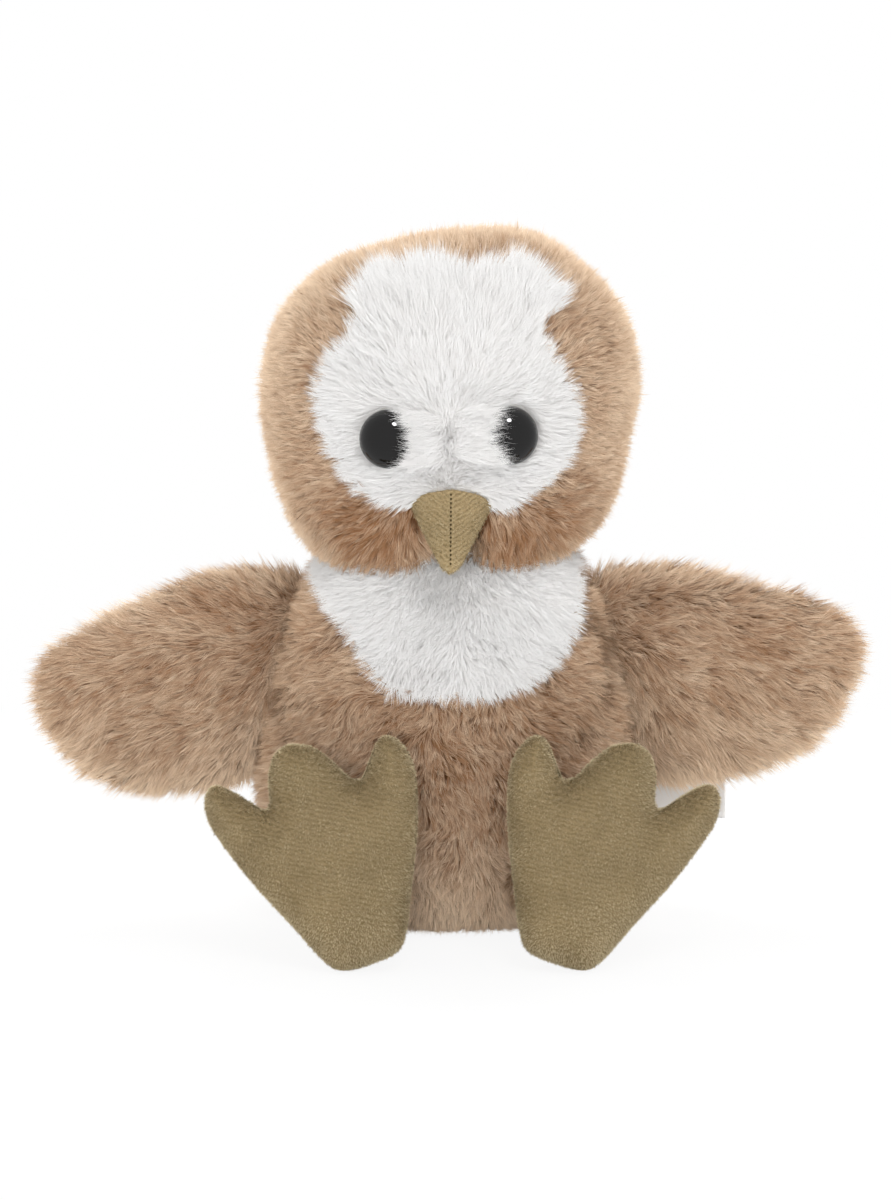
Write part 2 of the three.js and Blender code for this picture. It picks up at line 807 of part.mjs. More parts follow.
// Legs, turned about -Y from the hip at the origin to the ankle

function legProfile(inset) {
  const roundEnd = (radius, from, to, middle) => Array.from({ length: arcSteps + 1 }, (unused, step) => {
    const angle = (from + ((to - from) * step) / arcSteps) * degree;
    return new THREE.Vector2(
      (radius - inset) * Math.cos(angle),
      middle + (radius - inset) * Math.sin(angle),
    );
  });
  const hipShoulder = Math.acos(legRadius / hipRadius) / degree;
  return [
    ...roundEnd(hipRadius, -hipOpeningDeg, hipShoulder, 0),
    ...roundEnd(ankleRadius, 0, ankleOpeningDeg, legLength),
  ];
}

function turnedForward(profile) {
  const geometry = new THREE.LatheGeometry(profile, limbSides);
  geometry.rotateX(Math.PI);
  return solidOf(geometry);
}

function legGroup(side) {
  const outside = legProfile(0);
  const inside = legProfile(plushThickness);
  const core = legProfile(plushThickness + fitGap);
  const sleeve = [...outside, ...inside.slice().reverse(), outside[0].clone()];
  const first = core[0];
  const last = core[core.length - 1];
  const fill = [new THREE.Vector2(0, first.y), ...core, new THREE.Vector2(0, last.y)];
  const group = new THREE.Group();
  group.position.copy(hipPivot(side));
  group.rotation.z = sideSigns[side] * legSplayDeg[side] * degree;
  group.add(
    piece(`leg_${side}_sleeve`, turnedForward(sleeve), tanPlush),
    piece(`leg_${side}_stuffing`, turnedForward(fill), filling),
  );
  return group;
}

// The half of a foot in front of its seam or behind it
function leaningSide(skin, out, drop, sign) {
  const cutter = halfSpace(alongY, sign, (sign * fitGap) / 2);
  const frame = new THREE.Matrix4().makeTranslation(0, out, drop)
    .multiply(new THREE.Matrix4().makeRotationX(-footLeanDeg * degree));
  return skin.intersect(moved(cutter, frame));
}

// Feet, drawn about the ankle at the origin with the sole in front

function anklePivot(side) {
  const splay = sideSigns[side] * legSplayDeg[side] * degree;
  const run = new THREE.Vector3(Math.sin(splay), -Math.cos(splay), 0).multiplyScalar(legLength);
  return hipPivot(side).add(run);
}

function footGroup(side) {
  const turn = -sideSigns[side] * footTurnDeg[side] * degree;
  const place = ([across, up]) => new THREE.Vector2((across * footWidth) / 2, up * footLength)
    .rotateAround(new THREE.Vector2(), turn);
  const points = mirrored(footOutlineShares).map(place).map((point) => [point.x, point.y]);
  const outline = smoothOutline(points, footSteps);
  const middle = place([0, footMiddleShare]);
  const form = (inset, shares) => {
    const geometry = pillow(outline, middle, () => footThickness / 2, inset, shares);
    geometry.rotateX(-footLeanDeg * degree);
    return geometry;
  };
  const plain = form(0, crownShares);
  plain.computeBoundingBox();
  const out = -ankleRadius - footThickness / 2 + ankleSinkDepth;
  const drop = -anklePivot(side).z - plain.boundingBox.min.z;
  const seated = (geometry) => solidOf(geometry.translate(0, out, drop));
  const skin = seated(plain).subtract(seated(form(velourThickness, fillCrownShares)))
    .subtract(ballCutter(ankleRadius, origin));
  const fill = seated(form(velourThickness + fitGap, fillCrownShares))
    .subtract(ballCutter(ankleRadius, origin));
  const group = new THREE.Group();
  group.position.copy(anklePivot(side));
  group.add(
    piece(`foot_${side}_sole`, leaningSide(skin, out, drop, -1), oliveVelour),
    piece(`foot_${side}_top`, leaningSide(skin, out, drop, 1), oliveVelour),
    piece(`foot_${side}_stuffing`, fill, filling),
  );
  return group;
}

const owl = new THREE.Group();
owl.add(makeBody(), makeNeckSleeve(), makeHead());
for (const side of Object.keys(sideSigns)) owl.add(makeWing(side), legGroup(side), footGroup(side));

export default owl;
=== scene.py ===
# Seated plush owl, dressed for rendering: brushed pile made of tapered strands over padded forms,
# ribbed velour feet and beak, glossy safety eyes and a bare satin label.
# Sizes are in millimetres until a mesh is made. +Z is up, the owl faces -Y, its left is at +X.
# A ramp is the place where a change starts and how far it runs.

import json
import math

import bpy
import numpy as np
from mathutils import Matrix, Vector


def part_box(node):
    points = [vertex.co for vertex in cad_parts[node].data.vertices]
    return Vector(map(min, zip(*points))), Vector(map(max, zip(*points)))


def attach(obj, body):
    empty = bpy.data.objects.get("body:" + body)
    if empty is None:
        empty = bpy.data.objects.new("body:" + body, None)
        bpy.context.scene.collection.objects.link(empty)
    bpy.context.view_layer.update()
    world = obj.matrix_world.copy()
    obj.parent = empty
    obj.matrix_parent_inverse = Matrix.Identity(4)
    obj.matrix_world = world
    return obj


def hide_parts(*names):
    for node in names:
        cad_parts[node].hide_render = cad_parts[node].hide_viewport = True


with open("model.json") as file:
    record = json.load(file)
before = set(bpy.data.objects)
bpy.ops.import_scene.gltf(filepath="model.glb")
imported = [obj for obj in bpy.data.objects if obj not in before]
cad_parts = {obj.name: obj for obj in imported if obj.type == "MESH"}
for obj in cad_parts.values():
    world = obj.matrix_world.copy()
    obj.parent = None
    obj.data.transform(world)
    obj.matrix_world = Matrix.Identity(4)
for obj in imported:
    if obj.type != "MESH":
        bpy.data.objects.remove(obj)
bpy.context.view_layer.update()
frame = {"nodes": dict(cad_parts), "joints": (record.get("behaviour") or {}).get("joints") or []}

MM = 0.001
SIDES = {"left": 1, "right": -1}

# Body, with its breadth at heights up the body
body_height = 86
body_width = 80.5
body_depth = 68
belly_forward = 2.5
seat_squareness = 2.15
shoulder_squareness = 3
body_breadth_shares = [
    (0, 0.66), (0.035, 0.81), (0.09, 0.9), (0.18, 0.97), (0.31, 1), (0.46, 0.975),
    (0.6, 0.92), (0.7, 0.86), (0.79, 0.79), (0.86, 0.72), (0.92, 0.62), (1, 0.45),
]
# How deep the front of the body is up its height: the chest stays full up into the chin
chest_depth_shares = [
    (0, 0.66), (0.035, 0.81), (0.09, 0.9), (0.18, 0.97), (0.31, 1), (0.46, 1), (0.6, 0.985),
    (0.7, 0.965), (0.79, 0.94), (0.87, 0.9), (0.93, 0.83), (1, 0.7),
]
bib_outline = [
    (-25.2, 90), (-25.2, 72.5), (-18.8, 64.5), (-16, 60), (-11.6, 53.5), (-3, 52.8),
    (9, 52.6), (16, 54.5), (20.8, 58.5), (24.3, 66), (24.5, 75), (24.5, 90),
]
chin_start = 62
chin_run = 10
seat_round_share = 0.12
seat_inset_share = 0.3
seat_pile_top = 1.5
shoulder_ramp_shares = (0.5, 0.3)
body_brush_width = 34
body_side_lift_share = 0.35
bib_brush_width = 24
bib_fall_share = 0.8
bib_forward_share = 0.4
neck_pile_turn = (0, -1.6, -0.3)
# Painted shade in the middle of the belly, where the pile is also pressed darker, and painted light toward
# the seat, which stands in shade near the ground
belly_pressed_and_shade_width = 24
belly_pressed_and_shade_level = 42
belly_pressed_and_shade_height = 18
belly_pressed_and_shade_tone = 0.2
seat_painted_light_ramp = (26, -20)
seat_painted_light_tone = 0.45

# Head, about its own middle
head_width = 78.5
head_depth = 71
head_height = 72.5
head_middle = (0.7, -1, 108.5)
head_tilt_deg = 0.4
head_lean_share = 0.04
head_plan_squareness = 2.15
crown_squareness = 2.2
chin_squareness = 2.8
cheek_swell = 4.6
cheek_spread_deg = 24
cheek_across_deg = 31
cheek_down_deg = 46
chin_cleft = 9
chin_cleft_width = 5.5
chin_cleft_ramp = (-19, -12)
chin_cleft_back_ramp = (6, -12)
face_outline = [
    (-17, 15.5), (-23, 10), (-25.5, 3), (-22.5, -7), (-17.5, -14.5), (-12, -17.5), (0, -17),
    (10, -17.5), (16.5, -14.5), (22.5, -7.5), (23.5, 3), (17.5, 13), (14, 17), (-13, 18),
]
forehead_outline = [
    (-15, 14), (-18.5, 20), (-14, 24.5), (-3, 27), (2, 25), (13, 26.5), (20, 22),
    (15.5, 13.5),
]
face_middle = (-0.5, -6)
face_parting_height = 7
face_parting_wander = 1.5
face_parting_rise = 5
face_parting_rise_width = 3.5
face_parting_patch = 5
parting_lay_share = 0.2
parting_lay_reach = 13
tuft_brush_ramp = (-1, 10)
tuft_brush_width = 30
cheek_droop_ramp = (8, 12)
cheek_droop_width = 60
cheek_droop_share = 0.6
# Painted shade, darker on the low front of the cheeks
cheek_painted_shade_ramp = (10, 12)
cheek_painted_shade_tone = 0.34
head_back_ramp = (-4, 22)
head_back_brush = (0, 0.3, -1)
head_brush = (0, 0.3, 0)
# Painted rim light, paler where the head turns edge on to the front
head_painted_rim_light_tone = 0.375
forehead_length_ramp = (8, 12)
forehead_length_share = 0.65
beak_short_width = 8
beak_short_level = -13
beak_short_height = 4
beak_short_share = 0.5

# How far the brushed head differs from the even form, by the angle round it as seen from the front
head_outline_offsets = [
    (-180, 0), (-160, -1.2), (-150, -1.4), (-135, -0.6), (-100, 0), (-50, -1), (-30, -1.9),
    (-12, -2.5), (2, -0.8), (20, -0.3), (45, -0.3), (60, 0.6), (75, 0), (90, -1.3),
    (108, -2.4), (120, -1.8), (132, -0.4), (150, 0.8), (165, 0.5), (180, 0),
]
head_lump_height = 0.5
head_lump_width = 11

# Eyes
eye_diameter = 12
eye_back_depth = 0.4
eye_back_share = 0.9
eye_clear_gap = 0.1
eye_inner_share = 0.6
eye_inner_width = 4.5
eye_short_share = 0.25
eye_loose_share = 0.9
fringe_start_share = 0.2
fringe_drop_share = 0.12
fringe_right_length_share = 0.85
eye_height = 5
eye_rim_height = 0.8
eye_sink = 1.6
eye_across_deg = {"left": 19.3, "right": 20.5}
eye_looks_across_deg = 8
eye_looks_down_deg = 3
eye_down_deg = {"left": 5.8, "right": 7.2}
eye_socket_depth = 1.5
eye_socket_width = 8
bridge_height = 3.6
bridge_half_width = 7.6
bridge_top_ramp = (8, -10)
bridge_foot_ramp = (-21, 6)

# Beak
beak_width = 16.2
beak_height = 10.5
beak_root_depth = 1.8
beak_root_drop = 18
beak_tip_length = 10
beak_tip_drop = 29.6
beak_tip_share = 0.16
beak_pinch_share = 0.6
beak_taper_power = 0.95
beak_nose_ramp_shares = (0.88, 0.125)
beak_ridge_share = 0.1
beak_ridge_width_share = 0.16
beak_groove_share = 0.07
beak_groove_width_share = 0.035
stitch_row_shares = (0.05, 0.97)
stitch_dip_share = 0.4
stitch_end_share = 0.35
beak_stitch_count = 18
beak_stitch_length = 0.5
beak_stitch_radius = 0.2
beak_stitch_lift = 0.2
beak_seam_gap = 0.28
beak_rib_pitch = 0.75
beak_rib_slope = -0.6
beak_rib_tone = 0.34
beak_nap_tone = 0.3
beak_nap_brush = (0, -0.6, -1)
beak_clear_outline = [
    (-8, -19.5), (-6, -16.2), (-3, -14.2), (2, -13.8), (5.6, -15.6), (8, -19.5), (0, -31),
]

# Wings, about the hinge line at the side seam
wing_length = 50
wing_height = 48
wing_thickness = 17
wing_root_swell = 4.5
wing_root_run_share = 0.3
wing_tip_thickness_share = 0.6
wing_sweep_deg = 7
wing_droop = {"left": 0, "right": 8}
wing_middle_shares = (0.42, -0.05)
wing_outline_shares = [
    (0, -0.5), (0.1, -0.565), (0.28, -0.58), (0.5, -0.56), (0.77, -0.42), (0.92, -0.215),
    (1, 0.01), (0.93, 0.2), (0.61, 0.33), (0.2, 0.385), (-0.02, 0.35), (-0.22, 0.3),
    (-0.28, 0.14), (-0.23, -0.1), (-0.14, -0.32),
]
wing_rim_inset = 3
wing_edge_power = 2.4
wing_brush_root = 16
wing_brush_bend = 14
wing_brush_rise_share = 0.7
wing_brush = (0, 0, -0.3)
# Painted rim light round the wing's edge and most under its low edge, and painted shade toward its root by
# the body
wing_painted_rim_light = 0.6
wing_painted_low_rim_light = 0.84
wing_root_painted_shade = 0.2
wing_light_share = 0.34
wing_light_turn = 1.2
wing_light_out = 0.5
wing_light_up = 0.3

# Legs
hip_radius = 11.5
leg_radius = 9.4
ankle_radius = 9
hip_cover_share = 0.4
ankle_cover_share = 0.5
leg_pile_depth = 3.2
hip_hidden_depth = 2.5
leg_pile_length = 4.2
# Painted light that makes the legs' pile paler, where they stand in shade
leg_painted_light = 0.35
leg_brush = (0, -1, -0.3)

# Feet
foot_length = 46
foot_width = 42
foot_thickness = 14
foot_edge_round = 7.5
foot_rim_share = 0.93
foot_dome_height = 0.5
foot_dome_run = 15
foot_lean_deg = 9
foot_turn_deg = {"left": 17.5, "right": 18}
foot_shift = {"left": -2, "right": 0}
foot_rib_pitch = 1.05
foot_rib_slope = 0.2
foot_rib_tone = 0.1
foot_nap_brush = (0.2, 0, -1)
foot_middle_share = 0.5
foot_outer_shares = [
    (0, 0), (0.26, 0.01), (0.4, 0.085), (0.55, 0.24), (0.8, 0.49), (0.96, 0.69),
    (1.02, 0.8), (0.99, 0.9), (0.87, 0.94), (0.7, 0.88), (0.5, 0.775), (0.41, 0.8),
    (0.35, 0.9), (0.24, 0.985), (0.1, 1.01), (0, 1),
]
foot_inner_shares = [
    (0, 0), (0.3, 0.015), (0.44, 0.09), (0.59, 0.24), (0.82, 0.48), (0.96, 0.68),
    (0.985, 0.78), (0.95, 0.86), (0.85, 0.915), (0.74, 0.905), (0.63, 0.845), (0.5, 0.775),
    (0.38, 0.79), (0.27, 0.88), (0.14, 0.965), (0, 1),
]
toe_crease_shares = [[(-0.48, 0.78), (-0.92, 0.6)], [(0.48, 0.78), (0.92, 0.6)]]
toe_crease_depth = 1.3
toe_crease_width = 2.6

# Label, folded double with its fold outward
label_overhang = 3
label_lift = 0.5
label_height = 12.5
label_depth_place = 6.5
label_sewn_depth = 2.5
label_straight_share = 0.97
label_half_gap = 0.55
label_close_share = 0.3
label_fold_radius = 0.4
label_curl = 0.9
label_ripple = 0.25
label_ripple_rate = 0.5
label_thickness = 0.2

# Neck sleeve, with pairs of its radius and its height as shares
neck_inset = 0.35
neck_pleat_depth = 0.3
neck_pleat_count = 26
neck_profile_shares = [(0.98, 0.05), (1, 0.4), (0.9, 0.9), (0.86, 0.9), (0.95, 0.4), (0.94, 0.05)]

# Pile: how deep its backing lies under the outline, and how long and dense the strands are
pile_depth = 2.8
strand_coats = [
    {"density": 18, "segments": 1, "width": 0.155, "length_share": 0.85},
    {"density": 5, "segments": 2, "width": 0.16, "length_share": 1},
]
white_coats = [
    {"density": 27, "segments": 1, "width": 0.16, "length_share": 0.85},
    {"density": 8, "segments": 2, "width": 0.16, "length_share": 1},
]
fringe_coats = [{"density": 60, "segments": 3, "width": 0.085, "length_share": 1.4}]
wing_coats = [
    {"density": 18, "segments": 1, "width": 0.16, "length_share": 0.8},
    {"density": 6, "segments": 2, "width": 0.17, "length_share": 1},
]
nap_coats = [{"density": 17, "segments": 1, "width": 0.13, "length_share": 1}]
seat_coats = [{"density": 5, "segments": 1, "width": 0.3, "length_share": 1}]
seat_pile_settings = {"coats": seat_coats, "length": 3, "root_lean_deg": 80, "tip_lean_deg": 86}
common_pile = {
    "coats": strand_coats,
    "length": 4.8,
    "root_lean_deg": 22,
    "tip_lean_deg": 58,
    "stray_deg": 9,
    "patch": 6,
    "swirl_deg": 65,
    "lift_deg": 26,
    "tuft_spacing": 0.9,
    "tuft_share": 0.62,
    "tuft_turn_deg": 22,
    "tuft_lift_deg": 12,
    "tuft_tone": 0.14,
    "facing_share": 0.55,
}
body_pile_settings = {"field": 45, "length": 5.2, "root_lean_deg": 24, "tip_lean_deg": 60}
white_pile_settings = {
    "coats": white_coats,
    "length": 5.2,
    "swirl_deg": 40,
    "lift_deg": 9,
    "patch": 4.5,
    "tuft_spacing": 0.8,
    "tuft_share": 0.4,
    "tuft_turn_deg": 12,
    "tuft_lift_deg": 6,
    "facing_share": 0.4,
}
fringe_pile_changes = {"coats": fringe_coats, "tuft_share": 0.15, "stray_deg": 16}
wing_pile_settings = {
    "coats": wing_coats,
    "length": 6.8,
    "root_lean_deg": 36,
    "tip_lean_deg": 70,
    "swirl_deg": 34,
    "lift_deg": 16,
    "tuft_spacing": 1,
    "tuft_share": 0.6,
    "tuft_turn_deg": 13,
}
nap_settings = {
    "coats": nap_coats,
    "length": 0.55,
    "root_lean_deg": 18,
    "tip_lean_deg": 40,
    "stray_deg": 16,
    "patch": 5,
    "swirl_deg": 20,
    "lift_deg": 6,
    "tuft_spacing": 0.4,
    "tuft_share": 0.4,
}
# Painted rim light at the velour's edges and painted light near the ground, where it stands in shade
nap_painted_rim_light = 0.6
nap_painted_low_light = 0.45
nap_painted_low_light_ramp = (16, -12)

# Strands: how they wander, lean, gather into tufts, taper and take their tone
least_strand_height = 0.25
fine_patch_share = 0.36
wander_fine_share = 0.6
tone_fine_share = 0.7
lift_patch_share = 0.8
length_scatter_share = 0.12
least_lean_deg = 3
most_lean_deg = 86
tuft_warp_share = 0.8
tuft_warp_reach_share = 2.5
gather_power = 1.5
blade_wobble = 0.02
blade_turn = 0.45
blade_taper_power = 1.6
tip_shading_share = 0.3
patch_tone = 0.16
strand_tone = 0.1
uv_margin = 0.02
uv_half_width = 0.006
pile_root_share = 0.8
velour_row_share = 0.42
velour_bump = 0.25
satin_bump = 0.1

# Colours, as sRGB
# The tan pile's darker root colour is painted shade deep in the pile
tan_root_painted_shade = (122, 82, 52)
tan_deep = (158, 112, 74)
tan_pale = (243, 219, 190)
white_root = (238, 236, 234)
white_deep = (240, 238, 236)
white_pale = (248, 248, 247)
olive = (140, 122, 90)
olive_dark = (114, 98, 67)
olive_pale = (208, 193, 158)
beak_olive = (166, 146, 110)
beak_dark = (130, 113, 80)

# Camera, floor and light
view_elevation_deg = 9
view_distance = 900
view_target = (-0.5, 0, 66)
picture_scale = 0.21
picture_height = 1200
sensor_size = 36
floor_size = 8000
floor_lightness = 0.95
floor_glow_share = 0.9
floor_shadow_reach = 60
floor_white_reach = 260
world_light = 0.78
lamp_distance = 900
lamps = [
    {"name": "key", "across_deg": 14, "up_deg": 48, "size": 340, "power": 1.8, "shows": "diffuse"},
    {"name": "catch", "across_deg": 12, "up_deg": 46, "size": 190, "power": 6.5, "shows": "glossy"},
    {"name": "front", "across_deg": -6, "up_deg": 9, "size": 280, "power": 2.2, "shows": "diffuse"},
    {"name": "rim_left", "across_deg": 128, "up_deg": 24, "size": 500, "power": 3, "shows": "diffuse"},
    {"name": "rim_right", "across_deg": -128, "up_deg": 24, "size": 500, "power": 3, "shows": "diffuse"},
    {"name": "back", "across_deg": 180, "up_deg": 62, "size": 500, "power": 2.4, "shows": "diffuse"},
]


# Small helpers


def linear(colour):
    """An sRGB colour as the linear one a shader takes."""
    shares = np.array(colour, float) / 255
    values = np.where(shares <= 0.04045, shares / 12.92, ((shares + 0.055) / 1.055) ** 2.4)
    return (*values.tolist(), 1)


def unit(rows):
    return rows / np.maximum(np.linalg.norm(rows, axis=-1, keepdims=True), 1e-9)


def vectors(x, y, z):
    """Rows of x, y and z, each of them an array or one number for every row."""
    return np.stack(np.broadcast_arrays(x, y, z), axis=-1)


def circle(count):
    return np.linspace(0, 2 * math.pi, count, endpoint=False)


def ramp(values, start, run):
    """From 0 at the start to 1 a run further on. A run below zero goes the other way."""
    return np.clip((values - start) / run, 0, 1)


def bell(*reaches):
    """1 where every reach is 0, falling to almost nothing where one of them is 2."""
    return np.exp(-sum(np.square(reach) for reach in reaches))


def eased(share):
    return share * share * (3 - 2 * share)


def squared(values, power):
    return np.sign(values) * np.abs(values) ** power


def lattice_noise(points, cell, seed):
    """Smooth noise from -1 to 1 at each point, with features about one cell wide."""
    spot = points / cell
    base = np.floor(spot).astype(np.int64)
    part = eased(spot - base)
    total = np.zeros(len(points))
    for corner in range(8):
        step = np.array([corner & 1, corner >> 1 & 1, corner >> 2 & 1])
        x, y, z = (base + step).T
        mixed = (x * 374761393 + y * 668265263 + z * 2147483629 + seed * 97531) & 0xFFFFFFFF
        mixed = ((mixed ^ (mixed >> 13)) * 1274126177) & 0xFFFFFFFF
        value = ((mixed ^ (mixed >> 16)) & 0xFFFFFFFF) / 2147483648 - 1
        total += value * np.prod(np.where(step == 1, part, 1 - part), axis=1)
    return total


def vector_noise(points, cell, seed):
    return np.stack([lattice_noise(points, cell, seed + axis) for axis in range(3)], axis=1)


def smooth_loop(points, steps):
    """Closed Catmull-Rom curve through points in a plane, evenly spaced."""
    knots = np.array(points, float)
    fine = []
    for i in range(len(knots)):
        a, b, c, d = (knots[(i + k) % len(knots)] for k in (-1, 0, 1, 2))
        for t in np.linspace(0, 1, 24, endpoint=False):
            fine.append(0.5 * (2 * b + (c - a) * t + (2 * a - 5 * b + 4 * c - d) * t**2
                               + (3 * b - a - 3 * c + d) * t**3))
    fine = np.array(fine + [fine[0]])
    along = np.concatenate([[0], np.cumsum(np.linalg.norm(np.diff(fine, axis=0), axis=1))])
    places = np.linspace(0, along[-1], steps, endpoint=False)
    return np.stack([np.interp(places, along, fine[:, axis]) for axis in range(2)], axis=1)


def smooth_table(table, places):
    """Values of a table of (place, value) pairs, eased between its rows."""
    rows = np.array(table, float)
    slopes = np.gradient(rows[:, 1], rows[:, 0])
    row = np.clip(np.searchsorted(rows[:, 0], places) - 1, 0, len(rows) - 2)
    run = rows[row + 1, 0] - rows[row, 0]
    t = (places - rows[row, 0]) / run
    return ((2 * t**3 - 3 * t**2 + 1) * rows[row, 1] + (t**3 - 2 * t**2 + t) * run * slopes[row]
            + (3 * t**2 - 2 * t**3) * rows[row + 1, 1] + (t**3 - t**2) * run * slopes[row + 1])


def inside(points, outline):
    """Which points in a plane lie inside an outline."""
    corners = np.array(outline, float)
    found = np.zeros(len(points), bool)
    for (x0, y0), (x1, y1) in zip(corners, np.roll(corners, -1, axis=0)):
        crosses = (y0 > points[:, 1]) != (y1 > points[:, 1])
        rise = np.where(y1 == y0, 1e-9, y1 - y0)
        found ^= crosses & (points[:, 0] < (x1 - x0) * (points[:, 1] - y0) / rise + x0)
    return found


def on_front(roots, outline):
    """Which roots lie on the front and, seen from there, inside an outline."""
    return (roots[:, 1] < 0) & inside(roots[:, [0, 2]], outline)


def edge_distance(points, outline):
    """Distance from points in a plane to an outline."""
    nearest = np.full(len(points), np.inf)
    for a, b in zip(outline, np.roll(outline, -1, axis=0)):
        run = b - a
        share = np.clip((points - a) @ run / (run @ run), 0, 1)
        nearest = np.minimum(nearest, np.linalg.norm(points - a - share[:, None] * run, axis=1))
    return nearest


def joint_named(name):
    return next(joint for joint in frame["joints"] if joint["name"] == name)


def joint_place(name):
    return np.array(joint_named(name)["pos_m"]) / MM


def box_of(node):
    """The low and the high corner of a CAD node, in millimetres."""
    return (np.array(corner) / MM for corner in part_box(node))


def upright_to(way):
    """The turn that takes straight up to a way."""
    return Vector((0, 0, 1)).rotation_difference(Vector(way)).to_matrix().to_4x4()


# Forms: closed skins over a row of rings, as points and faces


def corners_of(points, triangles):
    return [points[triangles[:, corner]] for corner in range(3)]


def round_rings(profile, count):
    """Round rings from pairs of a radius and a height."""
    return np.array([[(r * math.cos(t), r * math.sin(t), z) for t in circle(count)] for r, z in profile])


def ring_form(rings, poles=None):
    """Points, quads and end triangles of a skin over rings, an array of ring by side by place. It
    closes at the poles or, without them, at the middles of its end rings."""
    ring_count, side_count, _ = rings.shape
    if poles is None:
        poles = [rings[0].mean(axis=0), rings[-1].mean(axis=0)]
    points = np.concatenate([rings.reshape(-1, 3), poles])
    sides = np.arange(side_count)
    afters = (sides + 1) % side_count
    starts = np.arange(ring_count - 1)[:, None] * side_count
    quads = np.stack([starts + sides, starts + afters, starts + side_count + afters,
                      starts + side_count + sides], axis=-1).reshape(-1, 4)
    last_ring = (ring_count - 1) * side_count
    first = np.full(side_count, len(points) - 2)
    last = np.full(side_count, len(points) - 1)
    caps = np.concatenate([np.stack([afters, sides, first], axis=1),
                           np.stack([last_ring + sides, last_ring + afters, last], axis=1)])
    triangles = np.concatenate([quads[:, [0, 1, 2]], quads[:, [0, 2, 3]], caps])
    a, b, c = corners_of(points, triangles)
    if np.einsum("ij,ij->i", a, np.cross(b, c)).sum() < 0:
        quads, caps, triangles = quads[:, ::-1], caps[:, ::-1], triangles[:, ::-1]
    return {"points": points, "quads": quads, "caps": caps, "triangles": triangles}


def form_normals(form):
    points, triangles = form["points"], form["triangles"]
    a, b, c = corners_of(points, triangles)
    face = np.cross(b - a, c - a)
    normals = np.zeros_like(points)
    for corner in range(3):
        np.add.at(normals, triangles[:, corner], face)
    return unit(normals)


def moved(form, matrix):
    """The form taken through a 4 by 4 matrix whose lengths are millimetres."""
    turn = np.array(matrix, float)
    points = form["points"] @ turn[:3, :3].T + turn[:3, 3]
    return {**form, "points": points}


def joined(forms):
    """Several closed forms as one."""
    joint = {"points": [], "quads": [], "caps": [], "triangles": []}
    start = 0
    for form in forms:
        joint["points"].append(form["points"])
        for kind in ("quads", "caps", "triangles"):
            joint[kind].append(form[kind] + start)
        start += len(form["points"])
    return {kind: np.concatenate(parts) for kind, parts in joint.items()}


def link(name, mesh, material):
    piece = bpy.data.objects.new(name, mesh)
    bpy.context.scene.collection.objects.link(piece)
    mesh.materials.append(material)
    return piece


def smooth_piece(name, points, faces, material):
    mesh = bpy.data.meshes.new(name)
    mesh.from_pydata((np.array(points) * MM).tolist(), [], faces)
    mesh.polygons.foreach_set("use_smooth", np.ones(len(faces), bool))
    mesh.update()
    return link(name, mesh, material)


def form_piece(name, form, material):
    faces = form["quads"].tolist() + form["caps"].tolist()
    return smooth_piece(name, form["points"], faces, material)


def paint(piece, material, covers):
    """The material on the faces whose middle is covered."""
    mesh = piece.data
    mesh.materials.append(material)
    middles = np.array([face.center for face in mesh.polygons]) / MM
    mesh.polygons.foreach_set("material_index", covers(middles).astype(np.int32))


def dress(piece, body):
    """The body that the piece moves with."""
    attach(piece, body)


# Strands


def scatter(form, density, rng):
    """Root places and normals spread over a form, so many to the square millimetre."""
    points, triangles = form["points"], form["triangles"]
    normals = form_normals(form)
    a, b, c = corners_of(points, triangles)
    area = np.linalg.norm(np.cross(b - a, c - a), axis=1) / 2
    counts = np.floor(area * density + rng.random(len(area))).astype(int)
    chosen = np.repeat(np.arange(len(triangles)), counts)
    root = np.sqrt(rng.random(len(chosen)))
    slide = rng.random(len(chosen))
    shares = np.stack([1 - root, root * (1 - slide), root * slide], axis=1)
    corners = triangles[chosen]
    roots = np.einsum("ij,ijk->ik", shares, points[corners])
    return roots, unit(np.einsum("ij,ijk->ik", shares, normals[corners]))


def on_surface(ways, normals):
    """Each way laid along the surface."""
    return unit(ways - np.einsum("ij,ij->i", ways, normals)[:, None] * normals)


def turned(ways, axes, angles):
    """Each way turned about its own axis."""
    cosine, sine = np.cos(angles)[:, None], np.sin(angles)[:, None]
    along = np.einsum("ij,ij->i", ways, axes)[:, None] * axes
    return ways * cosine + np.cross(axes, ways) * sine + along * (1 - cosine)


def patchy(roots, pile, seed, fine_share):
    """Noise over patches of the pile, with a share of finer noise on top."""
    seed += pile["field"]
    fine = lattice_noise(roots, pile["patch"] * fine_patch_share, seed + 3)
    return lattice_noise(roots, pile["patch"], seed) + fine_share * fine


def tufts_of(roots, spacing, seed):
    """Index of the tuft each root belongs to: cells of a warped lattice."""
    warp = vector_noise(roots, spacing * tuft_warp_reach_share, seed)
    warped = roots + warp * spacing * tuft_warp_share
    x, y, z = np.floor(warped / spacing).astype(np.int64).T
    keys = (x * 73856093) ^ (y * 19349663) ^ (z * 83492791)
    return np.unique(keys, return_inverse=True)[1]


def tuft_means(values, tuft):
    totals = np.stack([np.bincount(tuft, values[:, axis]) for axis in range(3)], axis=1)
    return (totals / np.bincount(tuft)[:, None])[tuft]


